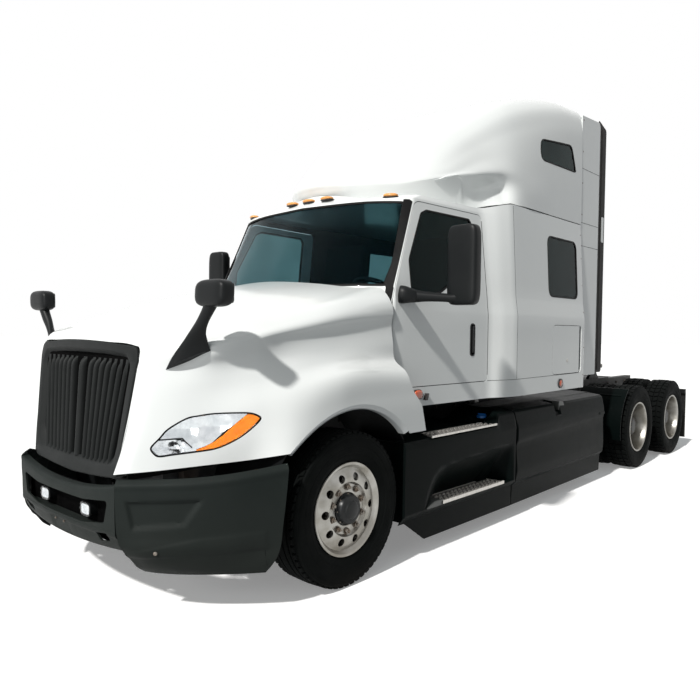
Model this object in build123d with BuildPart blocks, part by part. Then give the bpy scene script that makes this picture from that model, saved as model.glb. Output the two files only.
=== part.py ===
"""Semi truck tractor unit: long-nosed high-roof sleeper, two driven axles, one steered axle.

Frame: +Z up, the nose points to -Y, +X is the truck's left. Millimetres. The origin is on the
ground at the middle of the truck's length. Every place below is measured from the front axle
(Y = 0 there), and the planes side, level and section move it to the truck's middle.
"""
import math
import os

from build123d import *

os.makedirs("parts", exist_ok=True)

# ---- driving dimensions -------------------------------------------------------------------
NOSE_Y = -1352.0            # front of the bumper, from the front axle
TAIL_Y = 7274.0             # back of the mud flaps
FRONT_AXLE_Y = -(NOSE_Y + TAIL_Y) / 2
WHEELBASE = 5940.0
TANDEM = 1320.0             # from one driven axle to the next
DRIVE_AXLES = (WHEELBASE - TANDEM / 2, WHEELBASE + TANDEM / 2)

TYRE_RADIUS = 505.0
TYRE_WIDTH = 285.0
HUB_Z = TYRE_RADIUS
FRONT_TYRE_X = 1040.0       # middle of the steered tyre
DUAL_OUTER_X = 1090.0
DUAL_INNER_X = 750.0
KINGPIN_X = 880.0

RAIL_X = 432.0              # outer face of a frame rail
RAIL_TOP = 1010.0
RAIL_DEPTH = 257.0
RAIL_FLANGE = 89.0
RAIL_WEB = 10.0
RAIL_BOTTOM = RAIL_TOP - RAIL_DEPTH

FLOOR_Z = 1090.0            # underside of the cab
ROOF_Z = 2770.0             # seam between the cab and the roof fairing
CAB_BACK_Y = 3590.0
CAB_WALL = 55.0
PANEL = 24.0                # moulded hood and fairing panels
GAP = 9.0                   # shut line round a door
GLASS = 8.0
SKIN_CUT_X = 900.0          # cuts through the cab's sides start here

FIFTH_Y = WHEELBASE - 60.0
FIFTH_PIN_Z = 1115.0
PLATE_TOP_Z = 1215.0


def side(x):
    """Plane across the truck at x: sketch x is back along the truck, sketch y is up."""
    return Plane(origin=(x, FRONT_AXLE_Y, 0), x_dir=(0, 1, 0), z_dir=(1, 0, 0))


def level(z):
    """Horizontal plane: sketch x is to the truck's left, sketch y is back."""
    return Plane(origin=(0, FRONT_AXLE_Y, z), x_dir=(1, 0, 0), z_dir=(0, 0, 1))


def section(y):
    """Upright plane facing the nose: sketch x is to the truck's left, sketch y is up."""
    return Plane(origin=(0, FRONT_AXLE_Y + y, 0), x_dir=(1, 0, 0), z_dir=(0, -1, 0))


TRUCK = Plane(origin=(0, FRONT_AXLE_Y, 0))


def both(half):
    """A half outline, given from the middle outwards, closed with its mirror image."""
    return half + [(-x, v) for x, v in reversed(half) if x > 0]


def write(piece, name):
    """Label a finished piece and write its STEP file."""
    piece.part.label = name
    export_step(piece.part, f"parts/{name}.step")


def outline(plane, points, inset=0.0):
    """A straight-sided sketch on a plane, drawn in by inset."""
    with BuildSketch(plane) as sketch:
        with BuildLine():
            Polyline(*points, close=True)
        make_face()
        if inset:
            offset(amount=-inset, kind=Kind.INTERSECTION)
    return sketch.sketch


def prism(plane, points, depth, grow=0.0):
    """A straight-sided block from an outline, along the plane's normal."""
    with BuildPart() as block:
        extrude(outline(plane, points, -grow), amount=depth, dir=plane.z_dir)
    return block.part


def push(plane, points, depth):
    """Add a straight-sided block to the piece being built."""
    extrude(outline(plane, points), amount=depth, dir=plane.z_dir)


def tube(start, end, radius):
    """A round bar between two places."""
    a = Vector(start[0], start[1] + FRONT_AXLE_Y, start[2])
    b = Vector(end[0], end[1] + FRONT_AXLE_Y, end[2])
    with BuildPart() as bar:
        with BuildSketch(Plane(origin=a, z_dir=b - a)):
            Circle(radius)
        extrude(amount=(b - a).length)
    return bar.part


# ---- chassis ------------------------------------------------------------------------------
RAIL_FRONT_Y = -1130.0
RAIL_BACK_Y = 7230.0
CROSSMEMBERS = (-1090.0, 1650.0, 2900.0, 4300.0, 4760.0, 5940.0, 7180.0)

with BuildPart() as chassis_frame:
    web_x = RAIL_X - RAIL_WEB
    tip_x = RAIL_X - RAIL_FLANGE
    channel = [(RAIL_X, RAIL_BOTTOM), (RAIL_X, RAIL_TOP), (tip_x, RAIL_TOP),
               (tip_x, RAIL_TOP - RAIL_WEB), (web_x, RAIL_TOP - RAIL_WEB),
               (web_x, RAIL_BOTTOM + RAIL_WEB), (tip_x, RAIL_BOTTOM + RAIL_WEB),
               (tip_x, RAIL_BOTTOM)]
    push(section(RAIL_FRONT_Y), channel, -(RAIL_BACK_Y - RAIL_FRONT_Y))
    mirror(about=Plane.YZ)
    for cross_y in CROSSMEMBERS:
        inner = [(-web_x - 1, 790), (web_x + 1, 790), (web_x + 1, 975), (-web_x - 1, 975)]
        push(section(cross_y), inner, -50)
    for sign in (-1, 1):
        hanger = [(RAIL_X - 5, 900), (RAIL_X - 5, 960), (560, 960), (640, 850), (1212, 850), (1212, 790),
                  (600, 790), (540, 900)]
        push(section(RAIL_BACK_Y - 6), [(sign * x, z) for x, z in hanger], -40)
write(chassis_frame, "chassis_frame")

ENGINE = dict(front=-830.0, back=330.0, half_width=330.0, low=600.0, high=1480.0)
GEARBOX_BACK_Y = 1260.0
with BuildPart() as engine:
    block = both([(0, ENGINE["low"]), (ENGINE["half_width"], ENGINE["low"]),
                  (ENGINE["half_width"], ENGINE["high"]), (0, ENGINE["high"])])
    push(section(ENGINE["front"]), block, -(ENGINE["back"] - ENGINE["front"]))
    with BuildSketch(section(ENGINE["back"])):
        with Locations((0, 800)):
            Circle(245)
    with BuildSketch(section(700)):
        with Locations((0, 780)):
            Circle(190)
    loft(ruled=True)
    push(section(700), [(-180, 640), (180, 640), (180, 920), (-180, 920)], -(GEARBOX_BACK_Y - 700))
write(engine, "engine")

with BuildPart() as radiator:
    push(section(-1020), [(-430, 1015), (430, 1015), (430, 1470), (-430, 1470)], -110)
    push(section(-1020), [(-335, 720), (335, 720), (335, 1020), (-335, 1020)], -110)
write(radiator, "radiator")

# ---- steered axle -------------------------------------------------------------------------
SPRING_X = 390.0
SPRING_WIDTH = 78.0
HANGER_WIDTH = 62.0
EYE_INNER_X = KINGPIN_X - 60.0
KINGPIN_EYE_RADIUS = 40.0
KNUCKLE_FACE_X = KINGPIN_X + 46.0
KNUCKLE_EYE_RADIUS = 44.0
with BuildPart() as front_axle:
    leaf = [(-700, 690), (-660, 690), (-420, 610), (0, 550), (420, 610), (660, 690), (700, 690),
            (700, 650), (400, 545), (0, 484), (-400, 545), (-700, 650)]
    push(side(SPRING_X - SPRING_WIDTH / 2), leaf, SPRING_WIDTH)
    for eye_y in (-680, 680):
        hanger = [(eye_y - 45, 640), (eye_y + 45, 640), (eye_y + 60, RAIL_BOTTOM), (eye_y - 60, RAIL_BOTTOM)]
        push(side(SPRING_X - HANGER_WIDTH / 2), hanger, HANGER_WIDTH)
    mirror(about=Plane.YZ)
    beam = both([(0, 385), (540, 385), (740, 430), (EYE_INNER_X, 470), (EYE_INNER_X, 560), (700, 540),
                 (540, 490), (0, 490)])
    push(section(-50), beam, -100)
    for sign in (-1, 1):
        add(tube((sign * KINGPIN_X, 0, 470), (sign * KINGPIN_X, 0, 560), KINGPIN_EYE_RADIUS))
        neck = [(sign * EYE_INNER_X, 472), (sign * KINGPIN_X, 472), (sign * KINGPIN_X, 558),
                (sign * EYE_INNER_X, 558)]
        push(section(-36), neck, -72)
write(front_axle, "front_axle")

with BuildPart() as knuckle_left:
    upright = [(KNUCKLE_FACE_X, 390), (KNUCKLE_FACE_X + 26, 390), (KNUCKLE_FACE_X + 26, 640),
               (KNUCKLE_FACE_X, 640)]
    push(section(-44), upright, -88)
    for low, high in ((396, 462), (568, 634)):
        add(tube((KINGPIN_X, 0, low), (KINGPIN_X, 0, high), KNUCKLE_EYE_RADIUS))
        arm = [(KINGPIN_X, low + 2), (KNUCKLE_FACE_X + 4, low + 2), (KNUCKLE_FACE_X + 4, high - 2),
               (KINGPIN_X, high - 2)]
        push(section(-40), arm, -80)
    add(tube((KNUCKLE_FACE_X + 10, 0, HUB_Z), (1075, 0, HUB_Z), 38))
    add(tube((KINGPIN_X + 20, 20, 430), (KINGPIN_X - 30, 190, 430), 20))
write(knuckle_left, "knuckle_left")

with BuildPart() as knuckle_right:
    mirror(knuckle_left.part, about=Plane.YZ)
write(knuckle_right, "knuckle_right")

# ---- wheels -------------------------------------------------------------------------------
# half section of a tyre: distance from its middle, radius
TYRE_SECTION = [(0, 505), (112, 500), (134, 478), (142.5, 420), (140, 380), (130, 335), (113, 306),
                (107, 286.4), (0, 286.4)]


def wheel_axis(axle_y):
    return Axis((0, FRONT_AXLE_Y + axle_y, HUB_Z), (1, 0, 0))


def wheel_plane(axle_y):
    """Horizontal plane through an axle: sketch x is across the truck, sketch y is the radius."""
    return Plane(origin=(0, FRONT_AXLE_Y + axle_y, HUB_Z), x_dir=(1, 0, 0), z_dir=(0, 0, 1))


def tyre(middle_x, axle_y):
    half = TYRE_SECTION
    points = [(middle_x + x, r) for x, r in half] + [(middle_x - x, r) for x, r in reversed(half) if x > 0]
    with BuildPart() as ring:
        revolve(outline(wheel_plane(axle_y), points), axis=wheel_axis(axle_y))
    return ring.part


def turned(points, axle_y):
    with BuildPart() as ring:
        revolve(outline(wheel_plane(axle_y), points), axis=wheel_axis(axle_y))
    return ring.part


def rim_section(flange_x, disc_x, sign):
    """Barrel with a flange at each edge; sign is +1 where the outer flange is at higher x."""
    return [(flange_x, 286), (flange_x, 300), (flange_x - 10 * sign, 302), (flange_x - 12 * sign, 286),
            (flange_x - 238 * sign, 286), (flange_x - 240 * sign, 302), (flange_x - 250 * sign, 300),
            (flange_x - 250 * sign, 274), (disc_x - 24 * sign, 262), (disc_x - 24 * sign, 250),
            (disc_x - 24 * sign, 112), (disc_x, 112), (disc_x, 250), (disc_x + 14 * sign, 270)]


HAND_HOLES = 10
HAND_HOLE_R = 27.0
HAND_HOLE_RING = 212.0


def drill_disc(axle_y, from_x, to_x):
    holes = []
    for i in range(HAND_HOLES):
        angle = 2 * math.pi * (i + 0.5) / HAND_HOLES
        y = axle_y + HAND_HOLE_RING * math.cos(angle)
        z = HUB_Z + HAND_HOLE_RING * math.sin(angle)
        holes.append(tube((from_x, y, z), (to_x, y, z), HAND_HOLE_R))
    return holes


with BuildPart() as front_tyre_left:
    add(tyre(FRONT_TYRE_X, 0))
write(front_tyre_left, "front_tyre_left")
with BuildPart() as front_tyre_right:
    mirror(front_tyre_left.part, about=Plane.YZ)
write(front_tyre_right, "front_tyre_right")

FRONT_FLANGE_X = FRONT_TYRE_X + 125.0
FRONT_DISC_X = 1128.0
with BuildPart() as front_wheel_left:
    add(turned(rim_section(FRONT_FLANGE_X, FRONT_DISC_X, 1), 0))
    hub = [(1000, 42), (1000, 95), (1050, 95), (1085, 165), (1104, 165), (1104, 112), (1128, 112),
           (1128, 100), (1195, 92), (1205, 80), (1205, 0), (1082, 0), (1082, 42)]
    add(turned(hub, 0))
    drum = [(945, 196), (945, 212), (1104, 212), (1104, 160), (1090, 160), (1090, 196)]
    add(turned(drum, 0))
    add(drill_disc(0, 1105, 1140), mode=Mode.SUBTRACT)
write(front_wheel_left, "front_wheel_left")
with BuildPart() as front_wheel_right:
    mirror(front_wheel_left.part, about=Plane.YZ)
write(front_wheel_right, "front_wheel_right")

DUAL_FACE_X = (DUAL_OUTER_X + DUAL_INNER_X) / 2     # the two discs are bolted back to back here
for row, axle_y in (("front", DRIVE_AXLES[0]), ("back", DRIVE_AXLES[1])):
    with BuildPart() as dual_tyres:
        add(tyre(DUAL_OUTER_X, axle_y))
        add(tyre(DUAL_INNER_X, axle_y))
    with BuildPart() as dual_rims:
        add(turned(rim_section(DUAL_OUTER_X + 125, DUAL_FACE_X + 24, 1), axle_y))
        add(turned(rim_section(DUAL_INNER_X - 125, DUAL_FACE_X - 24, -1), axle_y))
        axle_hub = [(DUAL_FACE_X - 150, 66), (DUAL_FACE_X - 150, 120), (DUAL_FACE_X - 24, 170),
                    (DUAL_FACE_X - 24, 112), (DUAL_FACE_X + 24, 112), (DUAL_FACE_X + 24, 104),
                    (1150, 88), (1168, 76), (1168, 0), (1155, 0), (1155, 66)]
        add(turned(axle_hub, axle_y))
        drum = [(DUAL_FACE_X - 215, 196), (DUAL_FACE_X - 215, 212), (DUAL_FACE_X - 24, 212),
                (DUAL_FACE_X - 24, 150), (DUAL_FACE_X - 40, 150), (DUAL_FACE_X - 40, 196)]
        add(turned(drum, axle_y))
        add(drill_disc(axle_y, DUAL_FACE_X - 30, DUAL_FACE_X + 30), mode=Mode.SUBTRACT)
    write(dual_tyres, f"{row}_drive_tyres_left")
    write(dual_rims, f"{row}_drive_wheels_left")
    with BuildPart() as tyres_right:
        mirror(dual_tyres.part, about=Plane.YZ)
    write(tyres_right, f"{row}_drive_tyres_right")
    with BuildPart() as rims_right:
        mirror(dual_rims.part, about=Plane.YZ)
    write(rims_right, f"{row}_drive_wheels_right")

# ---- driven axles and their suspension ----------------------------------------------------
PINION_REACH = 330.0        # nose of a differential ahead of its axle
SHAFT_Z = 700.0
SHAFT_JOINT_Y = 3050.0
HOUSING = [(0, 210), (110, 205), (190, 120), (260, 72), (700, 60), (1130, 52), (1130, 0)]
with BuildPart() as drive_axles:
    for axle_y in DRIVE_AXLES:
        points = HOUSING + [(-x, r) for x, r in reversed(HOUSING) if x > 0]
        add(turned(points, axle_y))
        add(tube((0, axle_y - PINION_REACH, 540), (0, axle_y, 540), 95))
    add(tube((0, GEARBOX_BACK_Y, SHAFT_Z), (0, SHAFT_JOINT_Y, SHAFT_Z), 52))
    add(tube((0, SHAFT_JOINT_Y - 40, SHAFT_Z), (0, SHAFT_JOINT_Y + 60, SHAFT_Z), 80))
    add(tube((0, SHAFT_JOINT_Y + 20, SHAFT_Z), (0, DRIVE_AXLES[0] - PINION_REACH + 30, 545), 50))
    add(tube((0, DRIVE_AXLES[0], 540), (0, DRIVE_AXLES[1] - PINION_REACH + 30, 540), 45))
write(drive_axles, "drive_axles")

ARM_X = 480.0
with BuildPart() as rear_suspension:
    for axle_y in DRIVE_AXLES:
        arm = [(-520, 600), (-440, 600), (-110, 620), (110, 620), (225, 500), (460, 500), (460, 470),
               (205, 465), (100, 579), (-110, 579), (-430, 520), (-520, 520)]
        arm = [(axle_y + y, z) for y, z in arm]
        push(side(ARM_X - 38), arm, 76)
        hanger = [(axle_y - 540, 500), (axle_y - 430, 500), (axle_y - 390, 870), (axle_y - 580, 870)]
        push(side(RAIL_X), hanger, 20)
    mirror(about=Plane.YZ)
write(rear_suspension, "rear_suspension")

AIR_SPRING_X = 480.0
with BuildPart() as air_springs:
    for axle_y in DRIVE_AXLES:
        spring_y = axle_y + 350
        add(tube((AIR_SPRING_X, spring_y, 500), (AIR_SPRING_X, spring_y, 740), 110))
        add(tube((AIR_SPRING_X, spring_y, 740), (AIR_SPRING_X, spring_y, RAIL_BOTTOM), 60))
    mirror(about=Plane.YZ)
write(air_springs, "air_springs")

# ---- what hangs on the rails --------------------------------------------------------------
TANK_X = 795.0
TANK_Z = 560.0
TANK_R = 310.0
with BuildPart() as fuel_tanks:
    add(tube((TANK_X, 2330, TANK_Z), (TANK_X, 3960, TANK_Z), TANK_R))
    for strap_y in (2620, 3640):
        bracket = [(RAIL_X, 260), (RAIL_X, 980), (RAIL_X + 60, 980), (RAIL_X + 110, 700),
                   (RAIL_X + 110, 420), (TANK_X, 225), (TANK_X - 30, 200), (RAIL_X + 20, 230)]
        push(section(strap_y), bracket, -70)
    mirror(about=Plane.YZ)
write(fuel_tanks, "fuel_tanks")

BOX = dict(front=760.0, back=1980.0, inner=RAIL_X, outer=900.0, low=330.0, high=840.0)
with BuildPart(TRUCK) as battery_box:
    with Locations(((BOX["inner"] + BOX["outer"]) / 2, (BOX["front"] + BOX["back"]) / 2,
                    (BOX["low"] + BOX["high"]) / 2)):
        Box(BOX["outer"] - BOX["inner"], BOX["back"] - BOX["front"], BOX["high"] - BOX["low"])
write(battery_box, "battery_box")

with BuildPart() as exhaust_box:
    mirror(battery_box.part, about=Plane.YZ)
    add(tube((-700, 1300, 335), (-700, 1300, 250), 70))
write(exhaust_box, "exhaust_box")

DECK = [(-RAIL_X, 4330), (RAIL_X, 4330), (RAIL_X, 5020), (-RAIL_X, 5020)]
with BuildPart() as deck_plate:
    push(level(RAIL_TOP), DECK, 12)
write(deck_plate, "deck_plate")

QUARTER_R = 590.0
with BuildPart() as rear_fenders:
    with BuildSketch(side(640)):
        with Locations((DRIVE_AXLES[0], HUB_Z)):
            Circle(QUARTER_R)
            Circle(QUARTER_R - 12, mode=Mode.SUBTRACT)
        with BuildLine():
            Polyline((DRIVE_AXLES[0] - 700, 395), (DRIVE_AXLES[0] - 700, 985),
                     (DRIVE_AXLES[0] - 200, 985), (DRIVE_AXLES[0], HUB_Z), (DRIVE_AXLES[0] - 500, 395),
                     close=True)
        make_face(mode=Mode.INTERSECT)
    extrude(amount=560)
    add(tube((RAIL_X, DRIVE_AXLES[0] - 428, 900), (1150, DRIVE_AXLES[0] - 428, 900), 16))
    mirror(about=Plane.YZ)
write(rear_fenders, "rear_fenders")

FLAP_Y = RAIL_BACK_Y + 34
with BuildPart() as mud_flaps:
    push(section(FLAP_Y), [(610, 150), (1210, 150), (1210, 845), (610, 845)], -10)
    mirror(about=Plane.YZ)
write(mud_flaps, "mud_flaps")

with BuildPart() as tail_lamps:
    for lamp_x in (150, 300):
        add(tube((lamp_x, RAIL_BACK_Y, 880), (lamp_x, RAIL_BACK_Y + 28, 880), 55))
    mirror(about=Plane.YZ)
write(tail_lamps, "tail_lamps")

# ---- fifth wheel --------------------------------------------------------------------------
with BuildPart() as fifth_wheel_base:
    slide_plate = [(-RAIL_X, FIFTH_Y - 460), (RAIL_X, FIFTH_Y - 460), (RAIL_X, FIFTH_Y + 460),
                   (-RAIL_X, FIFTH_Y + 460)]
    push(level(RAIL_TOP), slide_plate, 14)
    for bracket_x in (-400, 360):
        bracket = [(FIFTH_Y - 170, RAIL_TOP + 10), (FIFTH_Y - 45, FIFTH_PIN_Z + 30),
                   (FIFTH_Y + 45, FIFTH_PIN_Z + 30), (FIFTH_Y + 170, RAIL_TOP + 10)]
        push(side(bracket_x), bracket, 40)
    for bracket_x in (-410, 350):
        add(tube((bracket_x, FIFTH_Y, FIFTH_PIN_Z), (bracket_x + 60, FIFTH_Y, FIFTH_PIN_Z), 16))
write(fifth_wheel_base, "fifth_wheel_base")

PLATE_HALF = 460.0
THROAT = 38.0
with BuildPart() as fifth_wheel_plate:
    plate = both([(0, FIFTH_Y - 400), (300, FIFTH_Y - 400), (PLATE_HALF, FIFTH_Y - 230),
                  (PLATE_HALF, FIFTH_Y + 150), (300, FIFTH_Y + 480), (200, FIFTH_Y + 480),
                  (60, FIFTH_Y + 160), (THROAT, FIFTH_Y + 60), (THROAT, FIFTH_Y - 30),
                  (0, FIFTH_Y - 60)])
    push(level(PLATE_TOP_Z - 45), plate, 45)
    for ear_x in (-345, 302):
        ear = [(FIFTH_Y - 70, PLATE_TOP_Z - 45), (FIFTH_Y - 36, FIFTH_PIN_Z - 36),
               (FIFTH_Y + 36, FIFTH_PIN_Z - 36), (FIFTH_Y + 70, PLATE_TOP_Z - 45)]
        push(side(ear_x), ear, 43)
    add(tube((-500, FIFTH_Y, FIFTH_PIN_Z), (500, FIFTH_Y, FIFTH_PIN_Z), 18), mode=Mode.SUBTRACT)
write(fifth_wheel_plate, "fifth_wheel_plate")

# ---- cab and sleeper ----------------------------------------------------------------------
# half outlines of the cab, middle outwards, at three heights: across, back
CAB_PLANS = {
    FLOOR_Z: [(0, 505), (500, 505), (900, 510), (1010, 520), (1050, 552), (1105, 1810), (1165, 1960),
              (1205, 2110), (1205, CAB_BACK_Y), (0, CAB_BACK_Y)],
    1960.0: [(0, 300), (500, 350), (830, 465), (965, 572), (1040, 604), (1082, 1810), (1130, 1960),
             (1170, 2110), (1170, CAB_BACK_Y), (0, CAB_BACK_Y)],
    ROOF_Z: [(0, 745), (480, 790), (780, 890), (900, 985), (945, 1070), (1000, 1810), (1075, 1960),
             (1135, 2110), (1135, CAB_BACK_Y), (0, CAB_BACK_Y)],
}
WAIST_Z = 1960.0


def cab_plan(z, inset):
    return outline(level(z), both(CAB_PLANS[z]), inset)


def cab_solid(inset, low=FLOOR_Z):
    """The cab's outer form, drawn in by inset."""
    with BuildPart() as form:
        add(cab_plan(FLOOR_Z, inset))
        add(cab_plan(WAIST_Z, inset))
        loft(ruled=True)
        add(cab_plan(WAIST_Z, inset))
        add(cab_plan(ROOF_Z, inset))
        loft(ruled=True)
        if low > FLOOR_Z:
            add(prism(level(FLOOR_Z - 10), [(-1300, 0), (1300, 0), (1300, 4000), (-1300, 4000)],
                      low - FLOOR_Z + 10), mode=Mode.SUBTRACT)
    return form.part


def skin(thickness, depth=0.0):
    """A shell of the cab's form, depth below its surface."""
    with BuildPart() as shell:
        add(cab_solid(depth))
        add(cab_solid(depth + thickness), mode=Mode.SUBTRACT)
    return shell.part


# side view outlines: back, up
DOOR = [(566, 1395), (569, 1760), (622, 1965), (1012, 2640), (1770, 2640), (1800, 2600), (1800, 1235),
        (690, 1235)]
DOOR_WINDOW = [(800, 2010), (880, 1925), (1640, 1925), (1665, 1960), (1665, 2560), (1630, 2590),
               (1075, 2590), (1040, 2560), (800, 2120)]
SLEEPER_WINDOW = [(2780, 2030), (2820, 1990), (3410, 1990), (3450, 2030), (3450, 2535), (3410, 2575),
                  (2820, 2575), (2780, 2535)]
LUGGAGE_DOOR = [(2840, 1250), (3500, 1250), (3500, 1720), (2840, 1720)]
# front view outline: across, up
WINDSHIELD = both([(0, 2000), (935, 2020), (878, 2665), (600, 2690), (0, 2700)])

with BuildPart() as cab_body:
    add(cab_solid(0))
    add(cab_solid(CAB_WALL, FLOOR_Z + CAB_WALL), mode=Mode.SUBTRACT)
    add(prism(section(200), WINDSHIELD, -900), mode=Mode.SUBTRACT)
    for cut in (DOOR, SLEEPER_WINDOW, LUGGAGE_DOOR):
        add(prism(side(SKIN_CUT_X), cut, 400, GAP), mode=Mode.SUBTRACT)
        add(prism(side(-SKIN_CUT_X), cut, -400, GAP), mode=Mode.SUBTRACT)
write(cab_body, "cab_body")

with BuildPart() as windshield:
    add(skin(GLASS, 10))
    add(prism(section(200), WINDSHIELD, -900, -4), mode=Mode.INTERSECT)
write(windshield, "windshield")

with BuildPart() as door_left:
    add(skin(CAB_WALL))
    add(prism(side(SKIN_CUT_X + GAP), DOOR, 400), mode=Mode.INTERSECT)
    add(prism(side(SKIN_CUT_X), DOOR_WINDOW, 400), mode=Mode.SUBTRACT)
    with BuildSketch(side(1060)):
        with Locations((1575, 1585)):
            SlotOverall(270, 70, rotation=90)
    extrude(amount=60)
write(door_left, "door_left")

with BuildPart() as door_glass_left:
    add(skin(GLASS, 10))
    add(prism(side(SKIN_CUT_X), DOOR_WINDOW, 400, -2), mode=Mode.INTERSECT)
write(door_glass_left, "door_glass_left")

with BuildPart() as mirror_left:
    push(section(850), [(1300, 1840), (1530, 1840), (1545, 2400), (1315, 2410)], -110)
    add(tube((1060, 700, 1905), (1360, 900, 1900), 32))
    add(tube((1090, 700, 1905), (1050, 700, 1905), 60))
write(mirror_left, "mirror_left")

for source, name in ((door_left, "door_right"), (door_glass_left, "door_glass_right"),
                     (mirror_left, "mirror_right")):
    with BuildPart() as opposite:
        mirror(source.part, about=Plane.YZ)
    write(opposite, name)

with BuildPart() as luggage_door_left:
    add(skin(CAB_WALL))
    add(prism(side(SKIN_CUT_X), LUGGAGE_DOOR, 400), mode=Mode.INTERSECT)
write(luggage_door_left, "luggage_door_left")
with BuildPart() as luggage_door_right:
    mirror(luggage_door_left.part, about=Plane.YZ)
write(luggage_door_right, "luggage_door_right")

# ---- roof fairing -------------------------------------------------------------------------
# section: back, half width at the seam, side half width and height, crown half width and height, top
ROOF = [
    (600, 560, 600, 2810, 520, 2835, 2850),
    (870, 860, 860, 2900, 450, 3190, 3230),
    (1200, 960, 960, 3000, 600, 3340, 3390),
    (1630, 985, 990, 3150, 780, 3510, 3560),
    (2250, 1130, 1110, 3300, 880, 3740, 3790),
    (3000, 1135, 1120, 3550, 930, 3900, 3950),
    (CAB_BACK_Y, 1135, 1115, 3700, 970, 3970, 4010),
]
ROOF_PANEL = 40.0
ROOF_SEAM_Z = ROOF_Z + 1


def roof_form(shrink):
    with BuildPart() as form:
        for y, seam_x, side_x, side_z, crown_x, crown_z, top_z in ROOF:
            low = ROOF_SEAM_Z - shrink
            half = [(0, low), (seam_x - shrink, low), (side_x - shrink, side_z - shrink / 2),
                    (crown_x - shrink / 2, crown_z - shrink), (0, top_z - shrink)]
            place = y + shrink if y == ROOF[0][0] else y
            place = y - shrink if y == CAB_BACK_Y else place
            add(outline(section(place), both(half)))
        loft(ruled=True)
    return form.part


ROOF_WINDOW = [(2750, 3470), (3340, 3540), (3440, 3290), (2660, 3265)]
with BuildPart() as roof_fairing:
    add(roof_form(0))
    add(roof_form(ROOF_PANEL), mode=Mode.SUBTRACT)
    add(prism(side(900), ROOF_WINDOW, 400), mode=Mode.SUBTRACT)
    add(prism(side(-1300), ROOF_WINDOW, 400), mode=Mode.SUBTRACT)
write(roof_fairing, "roof_fairing")

with BuildPart() as roof_glass:
    add(roof_form(14))
    add(roof_form(14 + GLASS), mode=Mode.SUBTRACT)
    add(prism(side(900), ROOF_WINDOW, 400, -3), mode=Mode.INTERSECT)
with BuildPart() as sleeper_windows:
    add(skin(GLASS, 10))
    add(prism(side(900), SLEEPER_WINDOW, 400, GAP - 4), mode=Mode.INTERSECT)
    add(roof_glass.part)
    mirror(about=Plane.YZ)
write(sleeper_windows, "sleeper_windows")

with BuildPart() as marker_lamps:
    for lamp_x, lamp_y in ((0, 660), (211, 672), (-211, 672), (704, 805), (-704, 805)):
        lamp = [(lamp_x - 45, 2737), (lamp_x + 45, 2737), (lamp_x + 45, ROOF_SEAM_Z), (lamp_x - 45, ROOF_SEAM_Z)]
        push(section(lamp_y - 25), lamp, -50)
    for sign in (-1, 1):
        add(tube((sign * 1204, 2990, 1165), (sign * 1222, 2990, 1165), 36))
        add(tube((sign * 1070, 900, 1165), (sign * 1090, 900, 1165), 34))
write(marker_lamps, "marker_lamps")

# ---- behind the cab -----------------------------------------------------------------------
EXTENDER_BACK_Y = 4070.0
EDGE_BACK_Y = 4270.0
with BuildPart() as side_extenders:
    panel = [(CAB_BACK_Y, 1200), (EXTENDER_BACK_Y, 1200), (EXTENDER_BACK_Y, 3980),
             (CAB_BACK_Y, 3950)]
    push(side(1095), panel, 34)
    for brace_z in (1500, 2600, 3600):
        push(level(brace_z), [(1000, CAB_BACK_Y), (1100, CAB_BACK_Y), (1100, 3950)], 20)
    mirror(about=Plane.YZ)
write(side_extenders, "side_extenders")

with BuildPart() as extender_edges:
    edge = [(EXTENDER_BACK_Y, 1215), (EDGE_BACK_Y, 1215), (EDGE_BACK_Y, 3900), (EXTENDER_BACK_Y, 3960)]
    push(side(1095), edge, 30)
    mirror(about=Plane.YZ)
write(extender_edges, "extender_edges")

# ---- inside the cab -----------------------------------------------------------------------
DASH_HALF_WIDTH = 895.0
with BuildPart() as dashboard:
    dash = [(640, 1300), (900, 1300), (960, 1700), (1010, 1850), (930, 1950), (700, 1990), (560, 1985),
            (560, 1880), (620, 1700)]
    push(side(-DASH_HALF_WIDTH), dash, 2 * DASH_HALF_WIDTH)
    add(cab_solid(CAB_WALL + 5), mode=Mode.INTERSECT)
write(dashboard, "dashboard")

SEAT_X = 500.0
with BuildPart() as seats:
    seat = [(1190, 1580), (1200, 1700), (1620, 1650), (1760, 2480), (1860, 2480), (1760, 1560)]
    push(side(SEAT_X - 250), seat, 500)
    pedestal = [(1300, 1146), (1640, 1146), (1600, 1562), (1340, 1582)]
    push(side(SEAT_X - 180), pedestal, 360)
    mirror(about=Plane.YZ)
write(seats, "seats")

with BuildPart() as bunk:
    push(side(-1080), [(2640, 1760), (3530, 1760), (3530, 1980), (2640, 1980)], 2160)
    push(side(-1080), [(2640, 1146), (2670, 1146), (2670, 1760), (2640, 1760)], 2160)
write(bunk, "bunk")

WHEEL_TILT = 35.0
STEERING_AT = (SEAT_X, 1060.0, 1935.0)
STEERING_PLANE = Plane(origin=(STEERING_AT[0], STEERING_AT[1] + FRONT_AXLE_Y, STEERING_AT[2]),
                       x_dir=(1, 0, 0),
                       z_dir=(0, math.sin(math.radians(WHEEL_TILT)), math.cos(math.radians(WHEEL_TILT))))
with BuildPart() as steering_wheel:
    with BuildSketch(STEERING_PLANE.offset(-14)):
        Circle(235)
        Circle(205, mode=Mode.SUBTRACT)
        Rectangle(440, 40)
        Circle(70)
    extrude(amount=28)
    with BuildSketch(STEERING_PLANE.offset(-14)):
        Circle(30)
    extrude(amount=-60)
write(steering_wheel, "steering_wheel")

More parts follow.
